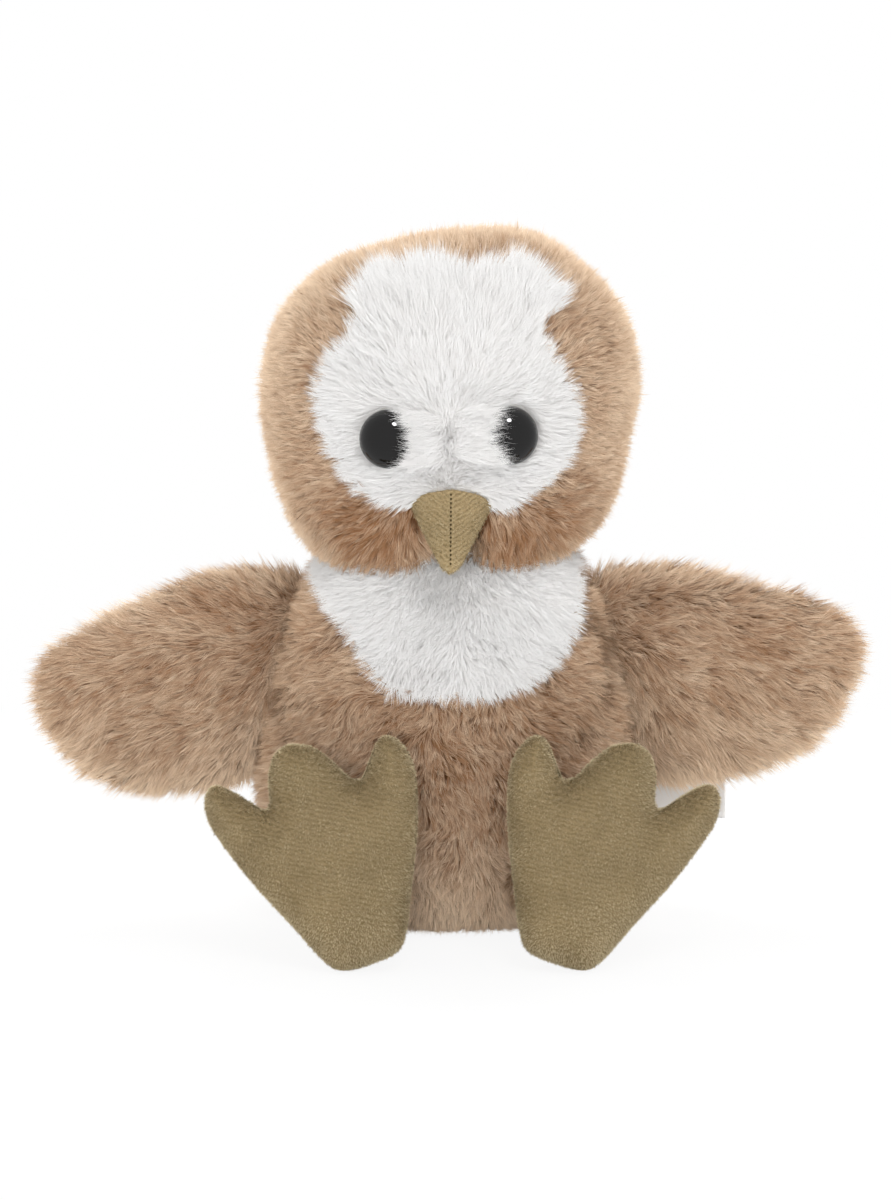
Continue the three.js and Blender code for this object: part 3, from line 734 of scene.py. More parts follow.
def strand_lines(roots, normals, flow, pile, coat, rng):
    """Centre lines of the strands, as an array of strand by joint by place, and the tuft of each."""
    count = len(roots)
    push = np.linalg.norm(flow, axis=1)
    tuft = tufts_of(roots, pile["tuft_spacing"], pile["field"])
    tuft_count = tuft.max() + 1
    wander = patchy(roots, pile, 0, wander_fine_share)
    own = rng.normal(0, pile["stray_deg"], count) + rng.normal(0, pile["tuft_turn_deg"], tuft_count)[tuft]
    run = turned(on_surface(flow, normals), normals, np.radians(wander * pile["swirl_deg"] + own))
    lift = lattice_noise(roots, pile["patch"] * lift_patch_share, pile["field"] + 11)
    lean = pile["lift_deg"] * lift + rng.normal(0, pile["stray_deg"] / 2, count)
    lean += rng.normal(0, pile["tuft_lift_deg"], tuft_count)[tuft]
    uneven = 1 + length_scatter_share * lift + rng.normal(0, length_scatter_share, count)
    lengths = pile["length"] * coat["length_share"] * uneven
    if "length_at" in pile:
        lengths = lengths * pile["length_at"](roots)
    segments = coat["segments"]
    lines = [roots]
    for joint in range(segments):
        share = (joint + 0.5) / segments
        angle = (pile["root_lean_deg"] * (1 - share) + pile["tip_lean_deg"] * share) * push + lean
        angle = np.radians(np.clip(angle, least_lean_deg, most_lean_deg))[:, None]
        step = normals * np.cos(angle) + run * np.sin(angle)
        lines.append(lines[-1] + step * (lengths / segments)[:, None])
    lines = np.stack(lines, axis=1)
    pull = tuft_means(lines[:, -1], tuft) - lines[:, -1]
    shares = (np.arange(segments + 1) / segments) ** gather_power
    gather = pile["tuft_share"] * (0.5 + 0.5 * rng.random(count))
    if "gather_at" in pile:
        gather = gather * pile["gather_at"](roots)
    return lines + pull[:, None, :] * (shares[None, :] * gather[:, None])[:, :, None], tuft


def strand_arrays(lines, bases, facing_share, width, rng):
    """Points, triangles, shading normals and places along the strand of flat tapered blades."""
    count, joints, _ = lines.shape
    segments = joints - 1
    along = unit(lines[:, -1] - lines[:, 0])
    across = unit(np.cross(along, bases) + rng.normal(0, blade_wobble, (count, 3)))
    across = turned(across, along, rng.uniform(-blade_turn, blade_turn, count))
    half = width / 2 * (0.8 + 0.4 * rng.random(count))
    facing = np.cross(across, along)
    points, shading, shares, edges = [], [], [], []
    for joint in range(joints):
        share = joint / segments
        taper = (1 - share**blade_taper_power) * half
        tilt = along * (tip_shading_share * share)
        soft = unit(bases * (1 - facing_share) + facing * facing_share + tilt)
        for offset in (-1, 1) if joint < segments else (0,):
            points.append(lines[:, joint] + across * (offset * taper)[:, None])
            shading.append(soft)
            shares.append(share)
            edges.append(offset)
    top = 2 * (segments - 1)
    base = []
    for low in range(0, top, 2):
        base += [(low, low + 1, low + 3), (low, low + 3, low + 2)]
    base.append((top, top + 1, top + 2))
    per_strand = len(points)
    triangles = (np.array(base)[None] + (np.arange(count) * per_strand)[:, None, None]).reshape(-1, 3)
    return {
        "points": np.stack(points, axis=1).reshape(-1, 3),
        "triangles": triangles,
        "shading": np.stack(shading, axis=1).reshape(-1, 3),
        "shares": np.tile(shares, count),
        "edges": np.tile(edges, count),
        "per_strand": per_strand,
    }


def strand_mesh(name, coats):
    """One mesh of strands. Its UV map holds the strand's tone across and the way up the strand."""

    def whole(values):
        return np.concatenate([values(coat) for coat in coats])

    points = whole(lambda coat: coat["points"])
    points[:, 2] = np.maximum(points[:, 2], least_strand_height)
    starts = np.cumsum([0] + [len(coat["points"]) for coat in coats[:-1]])
    triangles = np.concatenate([coat["triangles"] + start for coat, start in zip(coats, starts)])
    mesh = bpy.data.meshes.new(name)
    mesh.vertices.add(len(points))
    mesh.vertices.foreach_set("co", (points * MM).astype(np.float32).ravel())
    mesh.loops.add(triangles.size)
    mesh.loops.foreach_set("vertex_index", triangles.astype(np.int32).ravel())
    mesh.polygons.add(len(triangles))
    mesh.polygons.foreach_set("loop_start", np.arange(0, triangles.size, 3, dtype=np.int32))
    mesh.polygons.foreach_set("use_smooth", np.ones(len(triangles), bool))
    mesh.update(calc_edges=True)
    across = whole(lambda coat: coat["tones"] + coat["edges"] * uv_half_width)
    up = whole(lambda coat: uv_margin + (1 - 2 * uv_margin) * coat["shares"])
    uv = np.stack([across, up], axis=1)[triangles.ravel()]
    mesh.uv_layers.new(name="OFBake").data.foreach_set("uv", uv.astype(np.float32).ravel())
    mesh.normals_split_custom_set_from_vertices(whole(lambda coat: coat["shading"]).tolist())
    return mesh


def grow(name, form, flow_at, pile, material, keep=None):
    """Strands over a form: flow_at gives the way they are brushed at each root."""
    rng = np.random.default_rng(pile["seed"])
    coats = []
    for coat in pile["coats"]:
        roots, normals = scatter(form, coat["density"], rng)
        if keep is not None:
            kept = keep(roots, normals)
            roots, normals = roots[kept], normals[kept]
        lines, tuft = strand_lines(roots, normals, flow_at(roots, normals), pile, coat, rng)
        bases = pile["bases_at"](roots, normals) if "bases_at" in pile else normals
        arrays = strand_arrays(lines, bases, pile["facing_share"], coat["width"], rng)
        patch = patchy(roots, pile, 5, tone_fine_share)
        tones = 0.5 + patch_tone * patch + rng.normal(0, strand_tone, len(roots))
        tones += rng.normal(0, pile["tuft_tone"], tuft.max() + 1)[tuft]
        if "tone_at" in pile:
            tones += pile["tone_at"](roots, normals)
        tones = np.clip(tones, uv_margin, 1 - uv_margin)
        arrays["tones"] = np.repeat(tones, arrays["per_strand"])
        coats.append(arrays)
    return link(name, strand_mesh(name, coats), material)


def grow_parts(parts, form, body, local=lambda roots: roots):
    """Stretches of pile over a form, from rows of a name, a slot, a flow, the settings of the pile and
    what it covers. The flow and the cover are told in the places that local gives."""
    for name, slot, flow, pile, covers in parts:
        fur = grow(name, form, lambda roots, normals: flow(local(roots), normals), pile,
                   pile_materials[slot], lambda roots, normals: covers(local(roots)))
        dress(fur, body)


def on_half(sign, front, spared):
    """Covers one side, before or behind the middle, apart from what is spared."""

    def covers(roots):
        return (roots[:, 0] * sign > 0) & ((roots[:, 1] < 0) == front) & ~spared(roots)

    return covers


def brushed(way):
    """A flow that is the same all over."""
    return lambda roots, normals: np.tile(np.array(way, float), (len(roots), 1))


def edge_on(normals):
    """From 0 where the surface faces the front or the back to 1 where it is edge on to them."""
    return 1 - np.abs(normals[:, 1])


def pile_of(seed, **changes):
    """The settings of one stretch of pile."""
    return {"seed": seed, "field": seed, **common_pile, **changes}


# Materials


def give(tree, node, inputs):
    """Each input of a node as a value, or as a link from a socket."""
    for place, value in inputs.items():
        if isinstance(value, bpy.types.NodeSocket):
            tree.links.new(value, node.inputs[place])
        else:
            node.inputs[place].default_value = value


def add_node(tree, kind, inputs=None, **settings):
    node = tree.nodes.new(f"ShaderNode{kind}")
    for name, setting in settings.items():
        setattr(node, name, setting)
    give(tree, node, inputs or {})
    return node.outputs


def shader_of(name):
    material = bpy.data.materials.new(name)
    material.use_nodes = True
    tree = material.node_tree
    return material, tree, tree.nodes["Principled BSDF"]


def mixed_colour(tree, share, first, second):
    """Colour socket that goes from the first colour to the second with a share socket."""
    mix = tree.nodes.new("ShaderNodeMix")
    mix.data_type = "RGBA"
    colours = [place for place, socket in enumerate(mix.inputs) if socket.type == "RGBA"]
    give(tree, mix, {"Factor": share, colours[0]: first, colours[1]: second})
    return next(socket for socket in mix.outputs if socket.type == "RGBA")


def math_of(tree, operation, *values):
    return add_node(tree, "Math", dict(enumerate(values)), operation=operation)["Value"]


def object_place(tree):
    return add_node(tree, "TexCoord")["Object"]


def noise_of(tree, scale, detail=3):
    inputs = {"Vector": object_place(tree), "Scale": scale, "Detail": detail}
    return add_node(tree, "TexNoise", inputs)["Fac"]


def bump_of(tree, height, strength, distance):
    inputs = {"Height": height, "Strength": strength, "Distance": distance * MM}
    return add_node(tree, "Bump", inputs)["Normal"]


def pile_material(name, root, deep, pale, sheen):
    """Pile with one colour at the root and, at the tip, a colour for the deep tones and one for the pale."""
    material, tree, shader = shader_of(name)
    uv = add_node(tree, "UVMap", uv_map="OFBake")["UV"]
    split = add_node(tree, "SeparateXYZ", {"Vector": uv})
    up = add_node(tree, "MapRange", {"Value": split["Y"], "From Max": pile_root_share},
                  interpolation_type="SMOOTHSTEP")["Result"]
    tip = mixed_colour(tree, split["X"], linear(deep), linear(pale))
    give(tree, shader, {
        "Base Color": mixed_colour(tree, up, linear(root), tip),
        "Roughness": 0.7,
        "Specular IOR Level": 0.2,
        "Sheen Weight": sheen,
        "Sheen Roughness": 0.5,
        "Sheen Tint": linear(pale),
    })
    return material


def backing_material(name, colour, dark):
    """Knitted backing of the pile, which shows only deep between strands."""
    material, tree, shader = shader_of(name)
    give(tree, shader, {
        "Base Color": mixed_colour(tree, noise_of(tree, 900), linear(dark), linear(colour)),
        "Roughness": 0.9,
        "Specular IOR Level": 0.1,
    })
    return material


def velour_material(name, tip, dark, slant, mirrored):
    """Short ribbed nap: broken rows across, mottled where the nap is pressed."""
    material, tree, shader = shader_of(name)
    split = add_node(tree, "SeparateXYZ", {"Vector": object_place(tree)})
    across = math_of(tree, "ABSOLUTE", split["X"]) if mirrored else split["X"]
    slope = math_of(tree, "MULTIPLY_ADD", across, slant, split["Z"])
    rows = add_node(tree, "TexWave", {
        "Vector": add_node(tree, "CombineXYZ", {"X": split["X"], "Y": split["Y"], "Z": slope})["Vector"],
        "Scale": 330,
        "Distortion": 5,
        "Detail": 3,
        "Detail Scale": 2.4,
    }, bands_direction="Z")["Fac"]
    blend = math_of(tree, "MULTIPLY_ADD", rows, velour_row_share, noise_of(tree, 2400))
    spread = add_node(tree, "MapRange", {"Value": blend, "From Min": 0.35, "From Max": 0.95})["Result"]
    fine = mixed_colour(tree, spread, linear(dark), linear(tip))
    shade = add_node(tree, "MapRange", {
        "Value": noise_of(tree, 120),
        "From Min": 0.3,
        "From Max": 0.7,
        "To Min": 0.88,
        "To Max": 1.1,
    })["Result"]
    give(tree, shader, {
        "Base Color": add_node(tree, "VectorMath", {0: fine, "Scale": shade}, operation="SCALE")["Vector"],
        "Normal": bump_of(tree, blend, 0.5, velour_bump),
        "Roughness": 0.85,
        "Specular IOR Level": 0.15,
        "Sheen Weight": 0.35,
        "Sheen Roughness": 0.35,
        "Sheen Tint": linear(olive_pale),
    })
    return material


def plastic_material(name, colour, roughness, gloss):
    """Moulded plastic with a faint unevenness in its gloss."""
    material, tree, shader = shader_of(name)
    uneven = add_node(tree, "MapRange", {
        "Value": noise_of(tree, 400, detail=2),
        "To Min": roughness * 0.8,
        "To Max": roughness * 1.3,
    })["Result"]
    give(tree, shader, {"Base Color": linear(colour), "Roughness": uneven, "Specular IOR Level": gloss})
    return material


def satin_material(name, colour):
    """Woven satin ribbon with fine threads across it."""
    material, tree, shader = shader_of(name)
    weave = {"Vector": object_place(tree), "Scale": 1500, "Distortion": 1}
    threads = add_node(tree, "TexWave", weave, bands_direction="Z")["Fac"]
    dull = tuple(0.9 * part for part in colour)
    give(tree, shader, {
        "Base Color": mixed_colour(tree, threads, linear(dull), linear(colour)),
        "Normal": bump_of(tree, threads, 0.25, satin_bump),
        "Roughness": 0.42,
        "Sheen Weight": 0.3,
    })
    return material


# The darker root of the tan pile is painted shade deep in the pile
tan_pile = pile_material("tan_pile", tan_root_painted_shade, tan_deep, tan_pale, sheen=0.45)
white_pile = pile_material("white_pile", white_root, white_deep, white_pale, sheen=0.1)
pile_materials = {"tan_plush": tan_pile, "white_plush": white_pile}
tan_backing = backing_material("tan_backing", (140, 102, 72), (122, 84, 56))
white_backing = backing_material("white_backing", (236, 234, 232), (222, 219, 216))
foot_velour = velour_material("foot_velour", olive, olive_dark, slant=0.2, mirrored=False)
beak_velour = velour_material("beak_velour", beak_olive, beak_dark, slant=-0.55, mirrored=True)
velour_nap = pile_material("olive_nap", olive, olive_dark, olive_pale, sheen=0.4)
beak_pile = pile_material("beak_nap", beak_olive, beak_dark, olive_pale, sheen=0.4)
eye_plastic = plastic_material("eye_plastic", (10, 9, 9), roughness=0.04, gloss=0.32)
washer_plastic = plastic_material("washer_plastic", (228, 226, 220), roughness=0.5, gloss=0.5)
# Dark stitches for the beak, darker than the beak so that they also stand for the shade in the seam: painted
# shade on real stitches
thread_and_shade = backing_material("seam_thread_and_painted_shade", (78, 66, 42), (58, 49, 30))
satin = satin_material("label_satin", (250, 249, 247))
lining = backing_material("lining_cloth", (165, 138, 112), (140, 115, 92))


# Body


def body_form(inset):
    seat_levels = np.linspace(0, seat_round_share, 10, endpoint=False)
    levels = np.concatenate([seat_levels, np.linspace(seat_round_share, 1, 46)])
    heights = inset * seat_inset_share + levels * (body_height - (1 + seat_inset_share) * inset)
    breadths = smooth_table(body_breadth_shares, levels)
    angles = circle(96)
    rise = ramp(levels, *shoulder_ramp_shares)[:, None]
    power = 2 / (seat_squareness + (shoulder_squareness - seat_squareness) * rise)
    across = squared(np.cos(angles), power)
    along = squared(np.sin(angles), power)
    middle = -belly_forward * np.sin(math.pi * heights / body_height)
    chest = smooth_table(chest_depth_shares, levels)
    depths = np.where(along < 0, chest[:, None], breadths[:, None])
    return ring_form(vectors(across * (body_width / 2 * breadths - inset)[:, None],
                             middle[:, None] + along * (body_depth / 2 * depths - inset),
                             heights[:, None]))


def body_flow(roots, normals):
    """Brushed down the middle and out toward the sides."""
    out = np.clip(roots[:, 0] / body_brush_width, -1, 1)
    return unit(vectors(out, 0, -1 + body_side_lift_share * np.abs(out)))


def under_chin(roots):
    """From 0 on the chest to 1 round the neck."""
    return ramp(roots[:, 2], chin_start, chin_run)


def bib_flow(roots, normals):
    out = np.clip(roots[:, 0] / bib_brush_width, -1, 1)
    return unit(vectors(out, -bib_forward_share * under_chin(roots), -bib_fall_share))


def belly_pressed_and_painted_tone(roots, normals):
    """Darker in the middle of the belly, partly pressed pile and partly painted shade, and paler toward the
    seat, where painted light lifts the pile that stands in shade near the ground.
    """
    front = roots[:, 1] < 0
    middle = bell(roots[:, 0] / belly_pressed_and_shade_width, (roots[:, 2] - belly_pressed_and_shade_level) / belly_pressed_and_shade_height)
    return seat_painted_light_tone * ramp(roots[:, 2], *seat_painted_light_ramp) - belly_pressed_and_shade_tone * front * middle


def bib_bases(roots, normals):
    """Round the neck the pile turns its sides to the front, where the head leaves room for light."""
    return unit(normals + under_chin(roots)[:, None] * np.array(neck_pile_turn))


def on_bib(roots):
    return on_front(roots, bib_outline)


def on_seat(roots):
    return roots[:, 2] <= seat_pile_top


def make_body():
    form = body_form(pile_depth)
    skin = form_piece("body_skin", form, tan_backing)
    paint(skin, white_backing, on_bib)
    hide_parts("body_back_panel", "belly_panel", "chest_bib", "seat_panel",
                "body_stuffing", "pellet_bag")
    dress(skin, "torso")
    bib_pile = pile_of(41, **white_pile_settings, bases_at=bib_bases)
    parts = [
        ("bib_fur", "white_plush", bib_flow, bib_pile, on_bib),
        ("seat_fur", "tan_plush", body_flow, pile_of(44, **seat_pile_settings), on_seat),
    ]
    for order, (side, sign) in enumerate(SIDES.items()):
        for seed, name, front, swirl_deg in ((45, "belly_fur", True, 80), (47, "back_fur", False, 45)):
            pile = pile_of(seed + order, **body_pile_settings, swirl_deg=swirl_deg, tone_at=belly_pressed_and_painted_tone)
            covers = on_half(sign, front, lambda roots: on_bib(roots) | on_seat(roots))
            parts.append((f"{name}_{side}", "tan_plush", body_flow, pile, covers))
    grow_parts(parts, form, "torso")


# Head

head_frame = Matrix.Translation(head_middle) @ Matrix.Rotation(math.radians(head_tilt_deg), 4, "Y")


def direction(across_deg, up_deg):
    across, up = math.radians(across_deg), math.radians(up_deg)
    return np.array([math.sin(across) * math.cos(up), -math.cos(across) * math.cos(up), math.sin(up)])


cheeks = [direction(sign * cheek_across_deg, -cheek_down_deg) for sign in SIDES.values()]


def head_reach(toward, inset):
    """Distance from the head's middle to its surface along unit directions."""
    x, y, z = (np.abs(toward) / (np.array([head_width, head_depth, head_height]) / 2 - inset)).T
    plan = (x**head_plan_squareness + y**head_plan_squareness) ** (1 / head_plan_squareness)
    square = np.where(toward[:, 2] > 0, crown_squareness, chin_squareness)
    reach = 1 / (plan**square + z**square) ** (1 / square)
    for cheek in cheeks:
        apart = np.arccos(np.clip(toward @ cheek, -1, 1)) / math.radians(cheek_spread_deg)
        reach += cheek_swell * bell(apart)
    return reach


def eye_place(side):
    """Where the eye's flat back sits, and the way it looks, about the head's middle."""
    toward = direction(SIDES[side] * eye_across_deg[side], -eye_down_deg[side])
    place = toward * (head_reach(toward[None], 0)[0] - eye_sink)
    place[0] += head_lean_share * place[2]
    return place, direction(SIDES[side] * eye_looks_across_deg, -eye_looks_down_deg)


def head_form(inset):
    ups = np.radians(np.linspace(-90, 90, 92)[1:-1])[:, None]
    turns = circle(128)
    toward = vectors(np.sin(turns) * np.cos(ups), -np.cos(turns) * np.cos(ups), np.sin(ups))
    rings_shape = toward.shape
    toward = np.concatenate([toward.reshape(-1, 3), [[0, 0, -1], [0, 0, 1]]])
    points = toward * head_reach(toward, inset)[:, None]
    sideways = np.hypot(toward[:, 0], toward[:, 2])
    around = np.degrees(np.arctan2(toward[:, 2], toward[:, 0]))
    offsets = np.interp(around, *np.array(head_outline_offsets, float).T) * sideways**2
    offsets += head_lump_height * lattice_noise(points, head_lump_width, 7)
    points += toward * offsets[:, None]
    points[:, 0] += head_lean_share * points[:, 2]
    front = points[:, 1] < 0
    for side in SIDES:
        socket = bell(np.linalg.norm(points - eye_place(side)[0], axis=1) / eye_socket_width)
        points -= toward * (eye_socket_depth * socket * front)[:, None]
    bridge = bell(points[:, 0] / bridge_half_width) * front
    bridge *= ramp(points[:, 2], *bridge_top_ramp) * ramp(points[:, 2], *bridge_foot_ramp)
    points += toward * (bridge_height * bridge)[:, None]
    cleft = bell(points[:, 0] / chin_cleft_width)
    cleft *= ramp(points[:, 2], *chin_cleft_ramp) * ramp(points[:, 1], *chin_cleft_back_ramp)
    points -= toward * (chin_cleft * cleft)[:, None]
    return ring_form(points[:-2].reshape(rings_shape), points[-2:])


def on_forehead(roots):
    return on_front(roots, forehead_outline)


def on_white(roots):
    return on_front(roots, face_outline) | on_forehead(roots)


def off_eyes(roots):
    clear = np.ones(len(roots), bool)
    for side in SIDES:
        place, looks = eye_place(side)
        away = roots - place
        across = away - (away @ looks)[:, None] * looks
        clear &= np.linalg.norm(across, axis=1) > eye_diameter / 2 + eye_clear_gap
    return clear


def off_beak(roots):
    return ~on_front(roots, beak_clear_outline)


def from_parting(roots):
    """Away from the short upright parting in the middle of the face, and how far."""
    over = roots[:, 2] - face_middle[1]
    rise = np.sign(over) * np.maximum(np.abs(over) - face_parting_height, 0)
    middle = face_middle[0] + face_parting_wander * lattice_noise(roots, face_parting_patch, 3)
    across = roots[:, 0] - middle
    rise = rise + face_parting_rise * bell(across / face_parting_rise_width)
    out = vectors(across, 0, rise)
    return unit(out), np.linalg.norm(out, axis=1)


def tan_head_flow(roots, normals):
    """Brushed away from the face, down the cheeks, and down the back of the head."""
    out, _ = from_parting(roots)
    droop = ramp(-roots[:, 2], *cheek_droop_ramp) * (1 - ramp(np.abs(roots[:, 0]), 0, cheek_droop_width))
    droop = cheek_droop_share * droop[:, None]
    back = ramp(roots[:, 1], *head_back_ramp)[:, None]
    out = (out * (1 - droop) + vectors(0, 0, -droop[:, 0])) * (1 - back)
    return unit(out + np.array(head_back_brush) * back + np.array(head_brush))


def white_flow(roots, normals):
    """Brushed away from the parting, and straight up into the tuft of the forehead."""
    out, reach = from_parting(roots)
    up = ramp(roots[:, 2], *tuft_brush_ramp)[:, None]
    rise = unit(vectors(roots[:, 0] / tuft_brush_width, 0, 1))
    lay = np.clip(parting_lay_share + reach / parting_lay_reach, 0, 1)[:, None]
    return unit(out * (1 - up) + rise * up) * lay


def beside_eyes(roots):
    """From 0 to 1 on the inner side of each eye."""
    near = np.zeros(len(roots))
    for side, sign in SIDES.items():
        inner = eye_place(side)[0] - np.array([sign * eye_diameter * eye_inner_share, 0, 0])
        near += bell(np.linalg.norm(roots - inner, axis=1) / eye_inner_width)
    return np.clip(near, 0, 1)


def white_length(roots):
    """Longer pile toward the top of the forehead, shorter over the beak and beside the eyes."""
    tuft = forehead_length_share * eased(ramp(roots[:, 2], *forehead_length_ramp))
    over_beak = bell(roots[:, 0] / beak_short_width, (roots[:, 2] - beak_short_level) / beak_short_height)
    return 1 + tuft - eye_short_share * beside_eyes(roots) - beak_short_share * over_beak


def head_painted_light_and_shade(roots, normals):
    """Painted rim light, paler toward the sides and crown where the surface turns edge on to the front, and
    painted shade, darker on the low front of the cheeks.
    """
    low = ramp(-roots[:, 2], *cheek_painted_shade_ramp) * np.clip(-normals[:, 1], 0, 1)
    return head_painted_rim_light_tone * edge_on(normals) ** 2 - cheek_painted_shade_tone * low


def fringe_flow(roots, normals):
    """Brushed outward over the inner edges of the eyes."""
    return vectors(np.sign(roots[:, 0] - face_middle[0]), 0, -fringe_drop_share)


def fringe_length(roots):
    return np.where(roots[:, 0] < face_middle[0], fringe_right_length_share, 1)


def make_head():
    placed = moved(head_form(pile_depth), head_frame)
    inverse = np.array(head_frame.inverted(), float)

    def local(roots):
        return roots @ inverse[:3, :3].T + inverse[:3, 3]

    # Painted rim light and painted shade of the head, told in the head's own places
    def tone_at(roots, normals):
        return head_painted_light_and_shade(local(roots), normals)

    skin = form_piece("head_skin", placed, tan_backing)
    paint(skin, white_backing, lambda middles: on_white(local(middles)))
    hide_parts("head_side_left", "head_side_right", "face_left", "face_right",
                "forehead_panel", "head_stuffing")
    dress(skin, "head")
    white = pile_of(51, **white_pile_settings, length_at=lambda roots: white_length(local(roots)),
                    gather_at=lambda roots: 1 - eye_loose_share * beside_eyes(local(roots)))
    fringe = pile_of(52, length_at=fringe_length, **{**white_pile_settings, **fringe_pile_changes})
    parts = [("face_fur", "white_plush", white_flow, white,
              lambda roots: on_white(roots) & off_eyes(roots) & off_beak(roots))]
    for order, (side, sign) in enumerate(SIDES.items()):
        for seed, name, front in ((53, "front", True), (55, "back", False)):
            pile = pile_of(seed + order, field=53, tone_at=tone_at)
            covers = on_half(sign, front, lambda roots: on_white(roots) | ~off_beak(roots))
            parts.append((f"head_fur_{name}_{side}", "tan_plush", tan_head_flow, pile, covers))
    parts.append(("face_fringe", "white_plush", fringe_flow, fringe,
                  lambda roots: on_white(roots) & off_eyes(roots)
                  & (beside_eyes(roots) > fringe_start_share)))
    grow_parts(parts, placed, "head", local)


# Eyes


def make_eye(side):
    place, looks = eye_place(side)
    radius = eye_diameter / 2
    profile = [(radius * eye_back_share, -eye_back_depth), (radius, 0)]
    for t in np.linspace(0, math.pi / 2, 14)[:-1]:
        profile.append((radius * math.cos(t), eye_rim_height + (eye_height - eye_rim_height) * math.sin(t)))
    form = ring_form(round_rings(profile, 56), [(0, 0, -eye_back_depth), (0, 0, eye_height)])
    form = moved(form, head_frame @ Matrix.Translation(place) @ upright_to(looks))
    eye = form_piece(f"eye_{side}_dome", form, eye_plastic)
    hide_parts(f"eye_{side}")
    dress(eye, "head")
    washer_materials = frame["nodes"][f"eye_washer_{side}"].data.materials
    washer_materials.clear()
    washer_materials.append(washer_plastic)


# Beak


def beak_rings(shares, turns):
    """Rings of the beak about the head's middle: a V below, with the ridge of the seam on top."""
    front = head_reach(direction(0, 0)[None], 0)[0]
    root = np.array([0, beak_root_depth - front, -beak_root_drop])
    tip = np.array([0, -front - beak_tip_length, -beak_tip_drop])
    across = np.array([1.0, 0, 0])
    rise = unit(np.cross(unit(tip - root), across))
    share = shares[:, None]
    size = beak_tip_share + (1 - beak_tip_share) * (1 - share) ** beak_taper_power
    size = size * np.sqrt(1 - ramp(share, *beak_nose_ramp_shares) ** 2)
    low = np.clip(-np.sin(turns), 0, 1)[None]
    on_top = np.sin(turns) > 0
    ridge = beak_ridge_share * bell(np.cos(turns) / beak_ridge_width_share) * on_top
    groove = beak_groove_share * bell(np.cos(turns) / beak_groove_width_share) * on_top
    wide = beak_width / 2 * size * np.cos(turns) * (1 - beak_pinch_share * low)
    high = beak_height / 2 * size * np.sin(turns) * (1 + ridge - groove)
    middles = root + (tip - root) * share
    return middles[:, None] + across * wide[..., None] + rise * high[..., None], rise


def stitch_form(start, run, radius):
    """One stitch: a short thread that dips in at both ends."""
    along = unit(run)
    side = unit(np.cross(along, [0.0, 0, 1.0]) + np.array([1e-6, 0, 0]))
    lift = np.cross(side, along)
    lift *= np.sign(-lift[1])
    turns = circle(8)[:, None]
    rings = []
    for share in np.linspace(0, 1, 7):
        arch = math.sin(math.pi * share)
        middle = start + run * share + lift * radius * (arch - stitch_dip_share)
        spread = radius * (stitch_end_share + (1 - stitch_end_share) * arch)
        rings.append(middle + spread * (np.cos(turns) * side + np.sin(turns) * lift))
    return ring_form(np.array(rings))


def rows_over(places, roots, pitch, seed):
    """From -1 between the ribs of the velour to 1 along them, wandering a little and fading in patches."""
    wander = 0.3 * lattice_noise(roots, 3 * pitch, seed) + 0.5 * lattice_noise(roots, 8 * pitch, seed + 1)
    fade = np.clip(0.75 + 0.6 * lattice_noise(roots, 6 * pitch, seed + 2), 0.2, 1)
    return np.cos(2 * math.pi * (places / pitch + wander)) * fade


def nap_of(seed, rows, rib_tone, nap_tone):
    """Short nap of the velour, standing in ribs: rows gives how far each root is up its rib.
    It is paler at the edges by painted rim light, paler near the ground by painted light, and paler all over
    by the nap tone."""

    def tone_at(roots, normals):
        # Painted rim light at the edges and painted light near the ground
        edge = nap_painted_rim_light * edge_on(normals) ** 2
        low = nap_painted_low_light * ramp(roots[:, 2], *nap_painted_low_light_ramp)
        return rib_tone * rows(roots) + edge + low + nap_tone

    return pile_of(seed, **nap_settings, tone_at=tone_at, length_at=lambda roots: 1 + 0.25 * rows(roots))


def make_beak():
    rings, _ = beak_rings(np.linspace(0, 1, 40), circle(96))
    form = moved(ring_form(rings), head_frame)
    beak = form_piece("beak", form, beak_velour)
    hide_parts("beak_left_panel", "beak_right_panel", "beak_stuffing")
    dress(beak, "head")

    def from_middle(roots):
        return np.abs(roots[:, 0] - head_middle[0])

    def rows(roots):
        return rows_over(roots[:, 2] + beak_rib_slope * from_middle(roots), roots, beak_rib_pitch, 61)

    def clear_of_seam(roots, normals):
        return (from_middle(roots) > beak_seam_gap) | (normals[:, 1] > 0)

    pile = nap_of(61, rows, beak_rib_tone, beak_nap_tone)
    nap = grow("beak_nap", form, brushed(beak_nap_brush), pile, beak_pile, clear_of_seam)
    dress(nap, "head")
    top = np.array([math.pi / 2])
    ridge, rise = beak_rings(np.linspace(*stitch_row_shares, beak_stitch_count), top)
    ridge = ridge[:, 0] + rise * beak_stitch_lift
    stitches = []
    for place, following in zip(ridge[:-1], ridge[1:]):
        run = unit(following - place) * beak_stitch_length
        stitches.append(stitch_form(place, run, beak_stitch_radius))
    # The dark stitches are partly painted shade in the seam
    seam = form_piece("beak_stitches", moved(joined(stitches), head_frame), thread_and_shade)
    dress(seam, "head")


# Wings


def wing_frame(side):
    joint = joint_named(f"wing_{side}_swing")
    turn = Matrix.Rotation(math.radians(-SIDES[side] * wing_sweep_deg), 4, Vector(joint["axis"]))
    return Matrix.Translation(Vector(joint["pos_m"]) / MM) @ turn


def pillow_form(outline, middle, crown_at, shares):
    """Flat stuffed form over an outline, crowned alike in front and behind."""
    out = outline - middle
    even = unit(out) * np.linalg.norm(out, axis=1).mean()
    rings = []
    for share in shares:
        spot = middle + (even * (1 - share) + out * share) * share
        rings.append(vectors(spot[:, 0], crown_at(spot, share), spot[:, 1]))
    back = np.array(rings)
    front = back * (1, -1, 1)
    crown = back[0, :, 1].mean()
    poles = [(middle[0], -crown, middle[1]), (middle[0], crown, middle[1])]
    return ring_form(np.concatenate([front, back[-2::-1]]), poles)


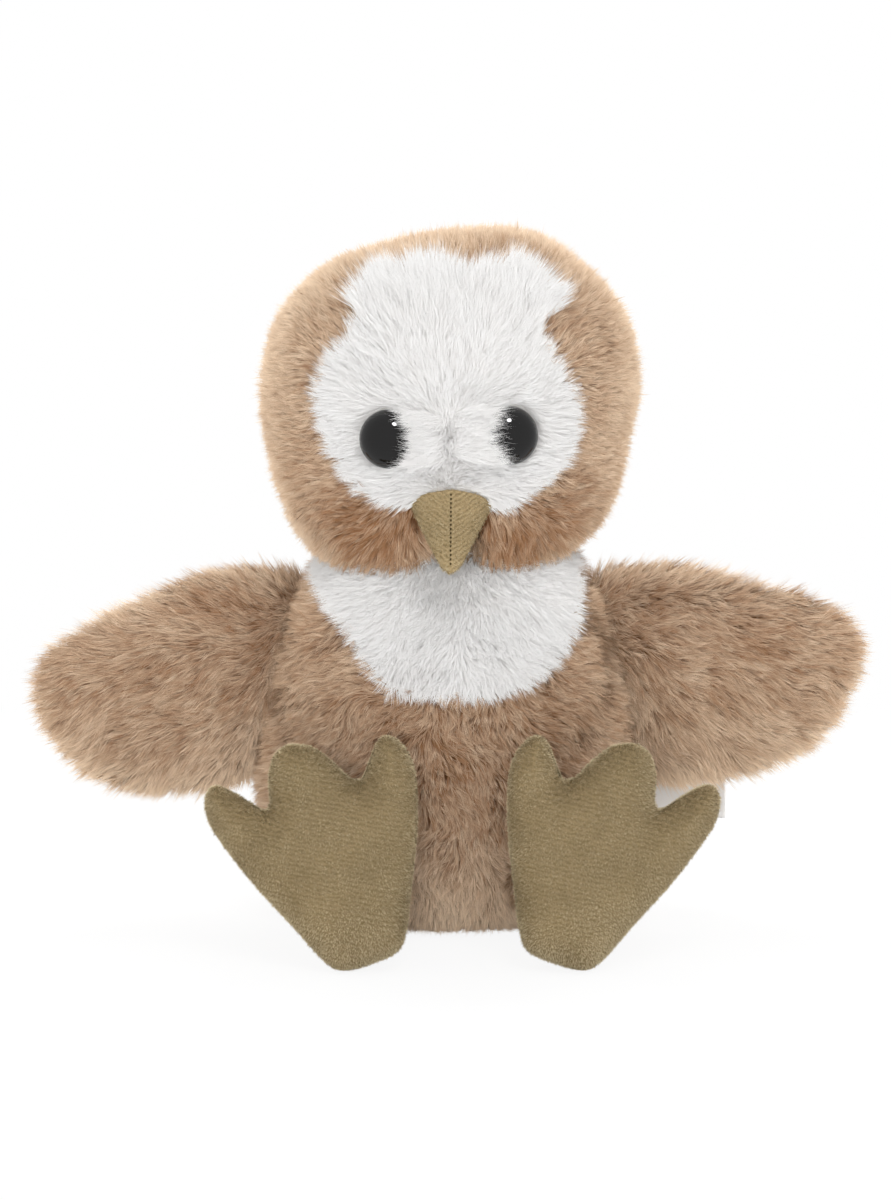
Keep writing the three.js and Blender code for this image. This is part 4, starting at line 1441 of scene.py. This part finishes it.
def wing_form(side, inset):
    sign = SIDES[side]

    def place(shares):
        across, up = shares
        return sign * across * wing_length, up * wing_height - wing_droop[side] * max(across, 0)

    def tipward(spot):
        return np.clip(sign * spot[:, 0] / wing_length, 0, 1)

    outline = smooth_loop([place(shares) for shares in wing_outline_shares], 110)
    middle = np.array(place(wing_middle_shares))
    away = outline - middle
    spans = np.linalg.norm(away, axis=1)
    outline = middle + away * (1 - (inset + wing_rim_inset * tipward(outline)) / spans)[:, None]

    def half_at(spot, share):
        out = tipward(spot)
        half = wing_thickness / 2 * (1 - (1 - wing_tip_thickness_share) * out**2) - inset
        half = half + wing_root_swell * bell(out / wing_root_run_share)
        return half * math.sqrt(max(0.0, 1 - share**wing_edge_power))

    return pillow_form(outline, middle, half_at, np.sin(np.linspace(0.03, 1, 26) * math.pi / 2))


def make_wing(side):
    sign = SIDES[side]
    matrix = wing_frame(side)
    form = moved(wing_form(side, pile_depth), matrix)
    skin = form_piece(f"wing_{side}_skin", form, tan_backing)
    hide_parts(f"wing_{side}_front", f"wing_{side}_back", f"wing_{side}_stuffing")
    dress(skin, f"wing_{side}")
    root = np.array(matrix @ Vector((-sign * wing_brush_root, 0, 0)))
    tip = np.array(matrix @ Vector((sign * wing_length, 0, 0)))

    def outward(roots):
        return ramp(roots[:, 0], root[0], tip[0] - root[0])

    def fan(roots, normals):
        away = roots - root
        out = unit(vectors(away[:, 0] + sign * wing_brush_bend, 0, away[:, 2] * wing_brush_rise_share))
        return unit(out + np.array(wing_brush))

    def wing_painted_light_and_shade(roots, normals):
        """Painted rim light, paler round the edge where it turns edge on to the front and most under the low
        edge, and painted shade, darker toward the root by the body.
        """
        rim = wing_painted_rim_light * edge_on(normals) + wing_painted_low_rim_light * np.clip(-normals[:, 2], 0, 1)
        return rim - wing_root_painted_shade * (1 - outward(roots))

    def root_bases(roots, normals):
        """Near the body the pile turns its sides outward and to the front, where the light comes in."""
        turn = bell((outward(roots) / wing_light_share) ** 2)[:, None] * np.sign(normals[:, 1:2])
        outer = np.abs(turn) * np.array([sign * wing_light_out, 0, wing_light_up])
        return unit(normals + turn * np.array([0, wing_light_turn, 0]) + outer)

    for order, (name, front) in enumerate((("front", True), ("back", False))):
        pile = pile_of(70 + 10 * (sign + 1) + order, field=70 + sign, **wing_pile_settings,
                       tone_at=wing_painted_light_and_shade, bases_at=root_bases)
        fur = grow(f"wing_{side}_fur_{name}", form, fan, pile, tan_pile,
                   lambda roots, normals: (normals[:, 1] < 0) == front)
        dress(fur, f"wing_{side}")


# Legs


def make_leg(side):
    hip, ankle = joint_place(f"leg_{side}_swing"), joint_place(f"foot_{side}_flop")
    run = ankle - hip
    length = np.linalg.norm(run)
    profile = []
    for place in np.linspace(-hip_radius * hip_cover_share, length + ankle_radius * ankle_cover_share, 30):
        ball = math.sqrt(max(0, (hip_radius - hip_hidden_depth) ** 2 - place**2))
        heel = math.sqrt(max(0, ankle_radius**2 - (place - length) ** 2)) if place > length else 0
        shaft = leg_radius if 0 <= place <= length else 0
        profile.append((max(ball, heel, shaft) - leg_pile_depth, place))
    form = ring_form(round_rings(profile, 48), [(0, 0, profile[0][1]), (0, 0, profile[-1][1])])
    form = moved(form, Matrix.Translation(hip) @ upright_to(run))
    skin = form_piece(f"leg_{side}_skin", form, tan_backing)
    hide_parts(f"leg_{side}_sleeve", f"leg_{side}_stuffing")
    dress(skin, f"leg_{side}")
    # The legs' pile is paler by painted light
    pile = pile_of(90 + SIDES[side], length=leg_pile_length, tone_at=lambda roots, normals: leg_painted_light)
    fur = grow(f"leg_{side}_fur", form, brushed(leg_brush), pile, tan_pile)
    dress(fur, f"leg_{side}")


# Feet


def foot_outline(side):
    outer = [(SIDES[side] * across, up) for across, up in foot_outer_shares]
    inner = [(-SIDES[side] * across, up) for across, up in foot_inner_shares[-2:0:-1]]
    loop = smooth_loop([(across * foot_width / 2, up * foot_length) for across, up in outer + inner], 220)
    turn = -SIDES[side] * math.radians(foot_turn_deg[side])
    cosine, sine = math.cos(turn), math.sin(turn)
    spin = np.array([[cosine, -sine], [sine, cosine]])
    return loop @ spin.T, np.array([0, foot_middle_share * foot_length]) @ spin.T, spin


def foot_form(side):
    outline, middle, spin = foot_outline(side)
    creases = [np.array(ends) * (foot_width / 2, foot_length) @ spin.T for ends in toe_crease_shares]

    def crown(spot, share):
        depth = edge_distance(spot, outline) if share < 1 else np.zeros(len(spot))
        rise = ramp(depth, 0, foot_edge_round)
        height = foot_thickness / 2 * np.sqrt(1 - (1 - rise) ** 2) * foot_rim_share
        height += foot_dome_height * ramp(depth, 0, foot_dome_run)
        for crease in creases:
            height -= toe_crease_depth * bell(edge_distance(spot, crease) / toe_crease_width) * rise
        return height

    shares = np.concatenate([np.linspace(0.04, 0.7, 14, endpoint=False), np.linspace(0.7, 1, 18)])
    return pillow_form(outline, middle, crown, shares)


def foot_frame(side):
    """Where the foot's outline stands: its middle plane leans back, its lowest point on the ground."""
    lean = Matrix.Rotation(-math.radians(foot_lean_deg), 4, "X")
    low, _ = box_of(f"foot_{side}_sole")
    _, foremost, lowest = moved(foot_form(side), lean)["points"].min(axis=0)
    across = joint_place(f"foot_{side}_flop")[0] + foot_shift[side]
    return Matrix.Translation((across, low[1] - foremost, -lowest)) @ lean


def make_foot(side):
    form = moved(foot_form(side), foot_frame(side))
    foot = form_piece(f"foot_{side}", form, foot_velour)
    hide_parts(f"foot_{side}_sole", f"foot_{side}_top", f"foot_{side}_stuffing")
    dress(foot, f"foot_{side}")
    seed = 95 + SIDES[side]

    def rows(roots):
        places = roots[:, 2] - SIDES[side] * foot_rib_slope * roots[:, 0]
        return rows_over(places, roots, foot_rib_pitch, seed)

    pile = nap_of(seed, rows, foot_rib_tone, 0)
    nap = grow(f"foot_{side}_nap", form, brushed(foot_nap_brush), pile, velour_nap)
    dress(nap, f"foot_{side}")


# Label and neck sleeve


def make_label():
    low, high = box_of("side_label")
    root, end = low[0] - label_sewn_depth, high[0] + label_overhang
    low[2] += label_lift
    high[2] = low[2] + label_height
    reach = end - root
    steps = np.linspace(0, 1, 24)
    run = reach * label_straight_share
    path = [(root + run * t, -label_half_gap * (1 - label_close_share * t)) for t in steps]
    for t in np.linspace(-math.pi / 2, math.pi / 2, 9)[1:-1]:
        path.append((root + run + label_fold_radius * math.cos(t), label_fold_radius * math.sin(t)))
    path += [(across, -depth) for across, depth in path[:len(steps)][::-1]]
    levels = np.linspace(low[2], high[2], 9)
    points, faces = [], []
    for across, depth in path:
        for level in levels:
            curl = label_curl * math.sin(math.pi * (across - root) / reach)
            curl += label_ripple * math.sin(level * label_ripple_rate)
            points.append((across, label_depth_place + depth + curl, level))
    rows = len(levels)
    for i in range(len(path) - 1):
        for j in range(rows - 1):
            faces.append((i * rows + j, (i + 1) * rows + j, (i + 1) * rows + j + 1, i * rows + j + 1))
    label = smooth_piece("label", points, faces, satin)
    solid = label.modifiers.new("thickness", "SOLIDIFY")
    solid.thickness = label_thickness * MM
    solid.offset = 0
    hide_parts("side_label")
    dress(label, "torso")


def make_neck():
    low, high = box_of("neck_sleeve")
    turns = circle(120)
    folds = neck_pleat_depth * np.sin(turns * neck_pleat_count) - neck_inset
    rings = []
    for share, level in neck_profile_shares:
        pleats = (high[0] - low[0]) / 2 * share + folds
        height = low[2] + (high[2] - low[2]) * level
        rings.append(vectors(pleats * np.cos(turns), pleats * np.sin(turns), height))
    form = ring_form(np.array(rings + [rings[0]]))
    form = {**form, "caps": form["caps"][:0]}
    sleeve = form_piece("neck_gather", form, lining)
    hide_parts("neck_sleeve")
    dress(sleeve, "neck")


# Camera, floor and light


def aimed(name, data, toward, distance):
    """A camera or lamp that looks at the owl's middle from the way toward it."""
    holder = bpy.data.objects.new(name, data)
    bpy.context.scene.collection.objects.link(holder)
    back = Vector(toward)
    holder.location = (Vector(view_target) + back * distance) * MM
    holder.rotation_euler = (-back).to_track_quat("-Z", "Y").to_euler()
    return holder


def make_camera():
    camera = aimed("camera", bpy.data.cameras.new("camera"), direction(0, view_elevation_deg), view_distance)
    camera.data.sensor_width = sensor_size
    camera.data.lens = sensor_size * view_distance / (picture_scale * picture_height)
    bpy.context.scene.camera = camera


def seen_share(tree, low, high):
    """Socket that is high for rays that show the background and low for rays that light the owl."""
    rays = add_node(tree, "LightPath")
    seen = rays["Is Camera Ray"]
    for kind in ("Is Glossy Ray", "Is Transmission Ray"):
        seen = math_of(tree, "MAXIMUM", seen, rays[kind])
    return add_node(tree, "MapRange", {"Value": seen, "To Min": low, "To Max": high})["Result"]


def make_floor():
    side = floor_size / 2
    corners = [(-side, -side, 0), (side, -side, 0), (side, side, 0), (-side, side, 0)]
    material, tree, _ = shader_of("floor")
    tree.nodes.clear()
    reach = add_node(tree, "VectorMath", {0: object_place(tree)}, operation="LENGTH")["Value"]
    fade = add_node(tree, "MapRange", {
        "Value": reach,
        "From Min": floor_shadow_reach * MM,
        "From Max": floor_white_reach * MM,
        "To Min": floor_glow_share,
    })["Result"]
    mix = add_node(tree, "MixShader", {
        "Fac": math_of(tree, "MULTIPLY", seen_share(tree, 0, 1), fade),
        1: add_node(tree, "BsdfDiffuse", {"Color": (*[floor_lightness] * 3, 1)})["BSDF"],
        2: add_node(tree, "Emission", {"Color": (1, 1, 1, 1), "Strength": 1})["Emission"],
    })
    add_node(tree, "OutputMaterial", {"Surface": mix["Shader"]})
    smooth_piece("floor", corners, [(0, 1, 2, 3)], material)


def make_world():
    world = bpy.data.worlds.new("studio")
    bpy.context.scene.world = world
    world.use_nodes = True
    tree = world.node_tree
    give(tree, tree.nodes["Background"], {
        "Color": (1, 1, 1, 1),
        "Strength": seen_share(tree, world_light, 1),
    })


def make_lamp(name, across_deg, up_deg, size, power, shows):
    """A round lamp that lights matt surfaces, or one that only shows as a glint in glossy ones."""
    lamp = bpy.data.lights.new(name, "AREA")
    lamp.shape = "DISK"
    lamp.size = size * MM
    lamp.energy = power
    holder = aimed(name, lamp, direction(across_deg, up_deg), lamp_distance)
    holder.visible_glossy = shows == "glossy"
    holder.visible_diffuse = shows == "diffuse"


make_camera()
make_floor()
make_world()
for settings in lamps:
    make_lamp(**settings)
bpy.context.scene.view_settings.view_transform = "Standard"

make_body()
make_head()
make_beak()
make_label()
make_neck()
for owl_side in SIDES:
    make_eye(owl_side)
    make_wing(owl_side)
    make_leg(owl_side)
    make_foot(owl_side)
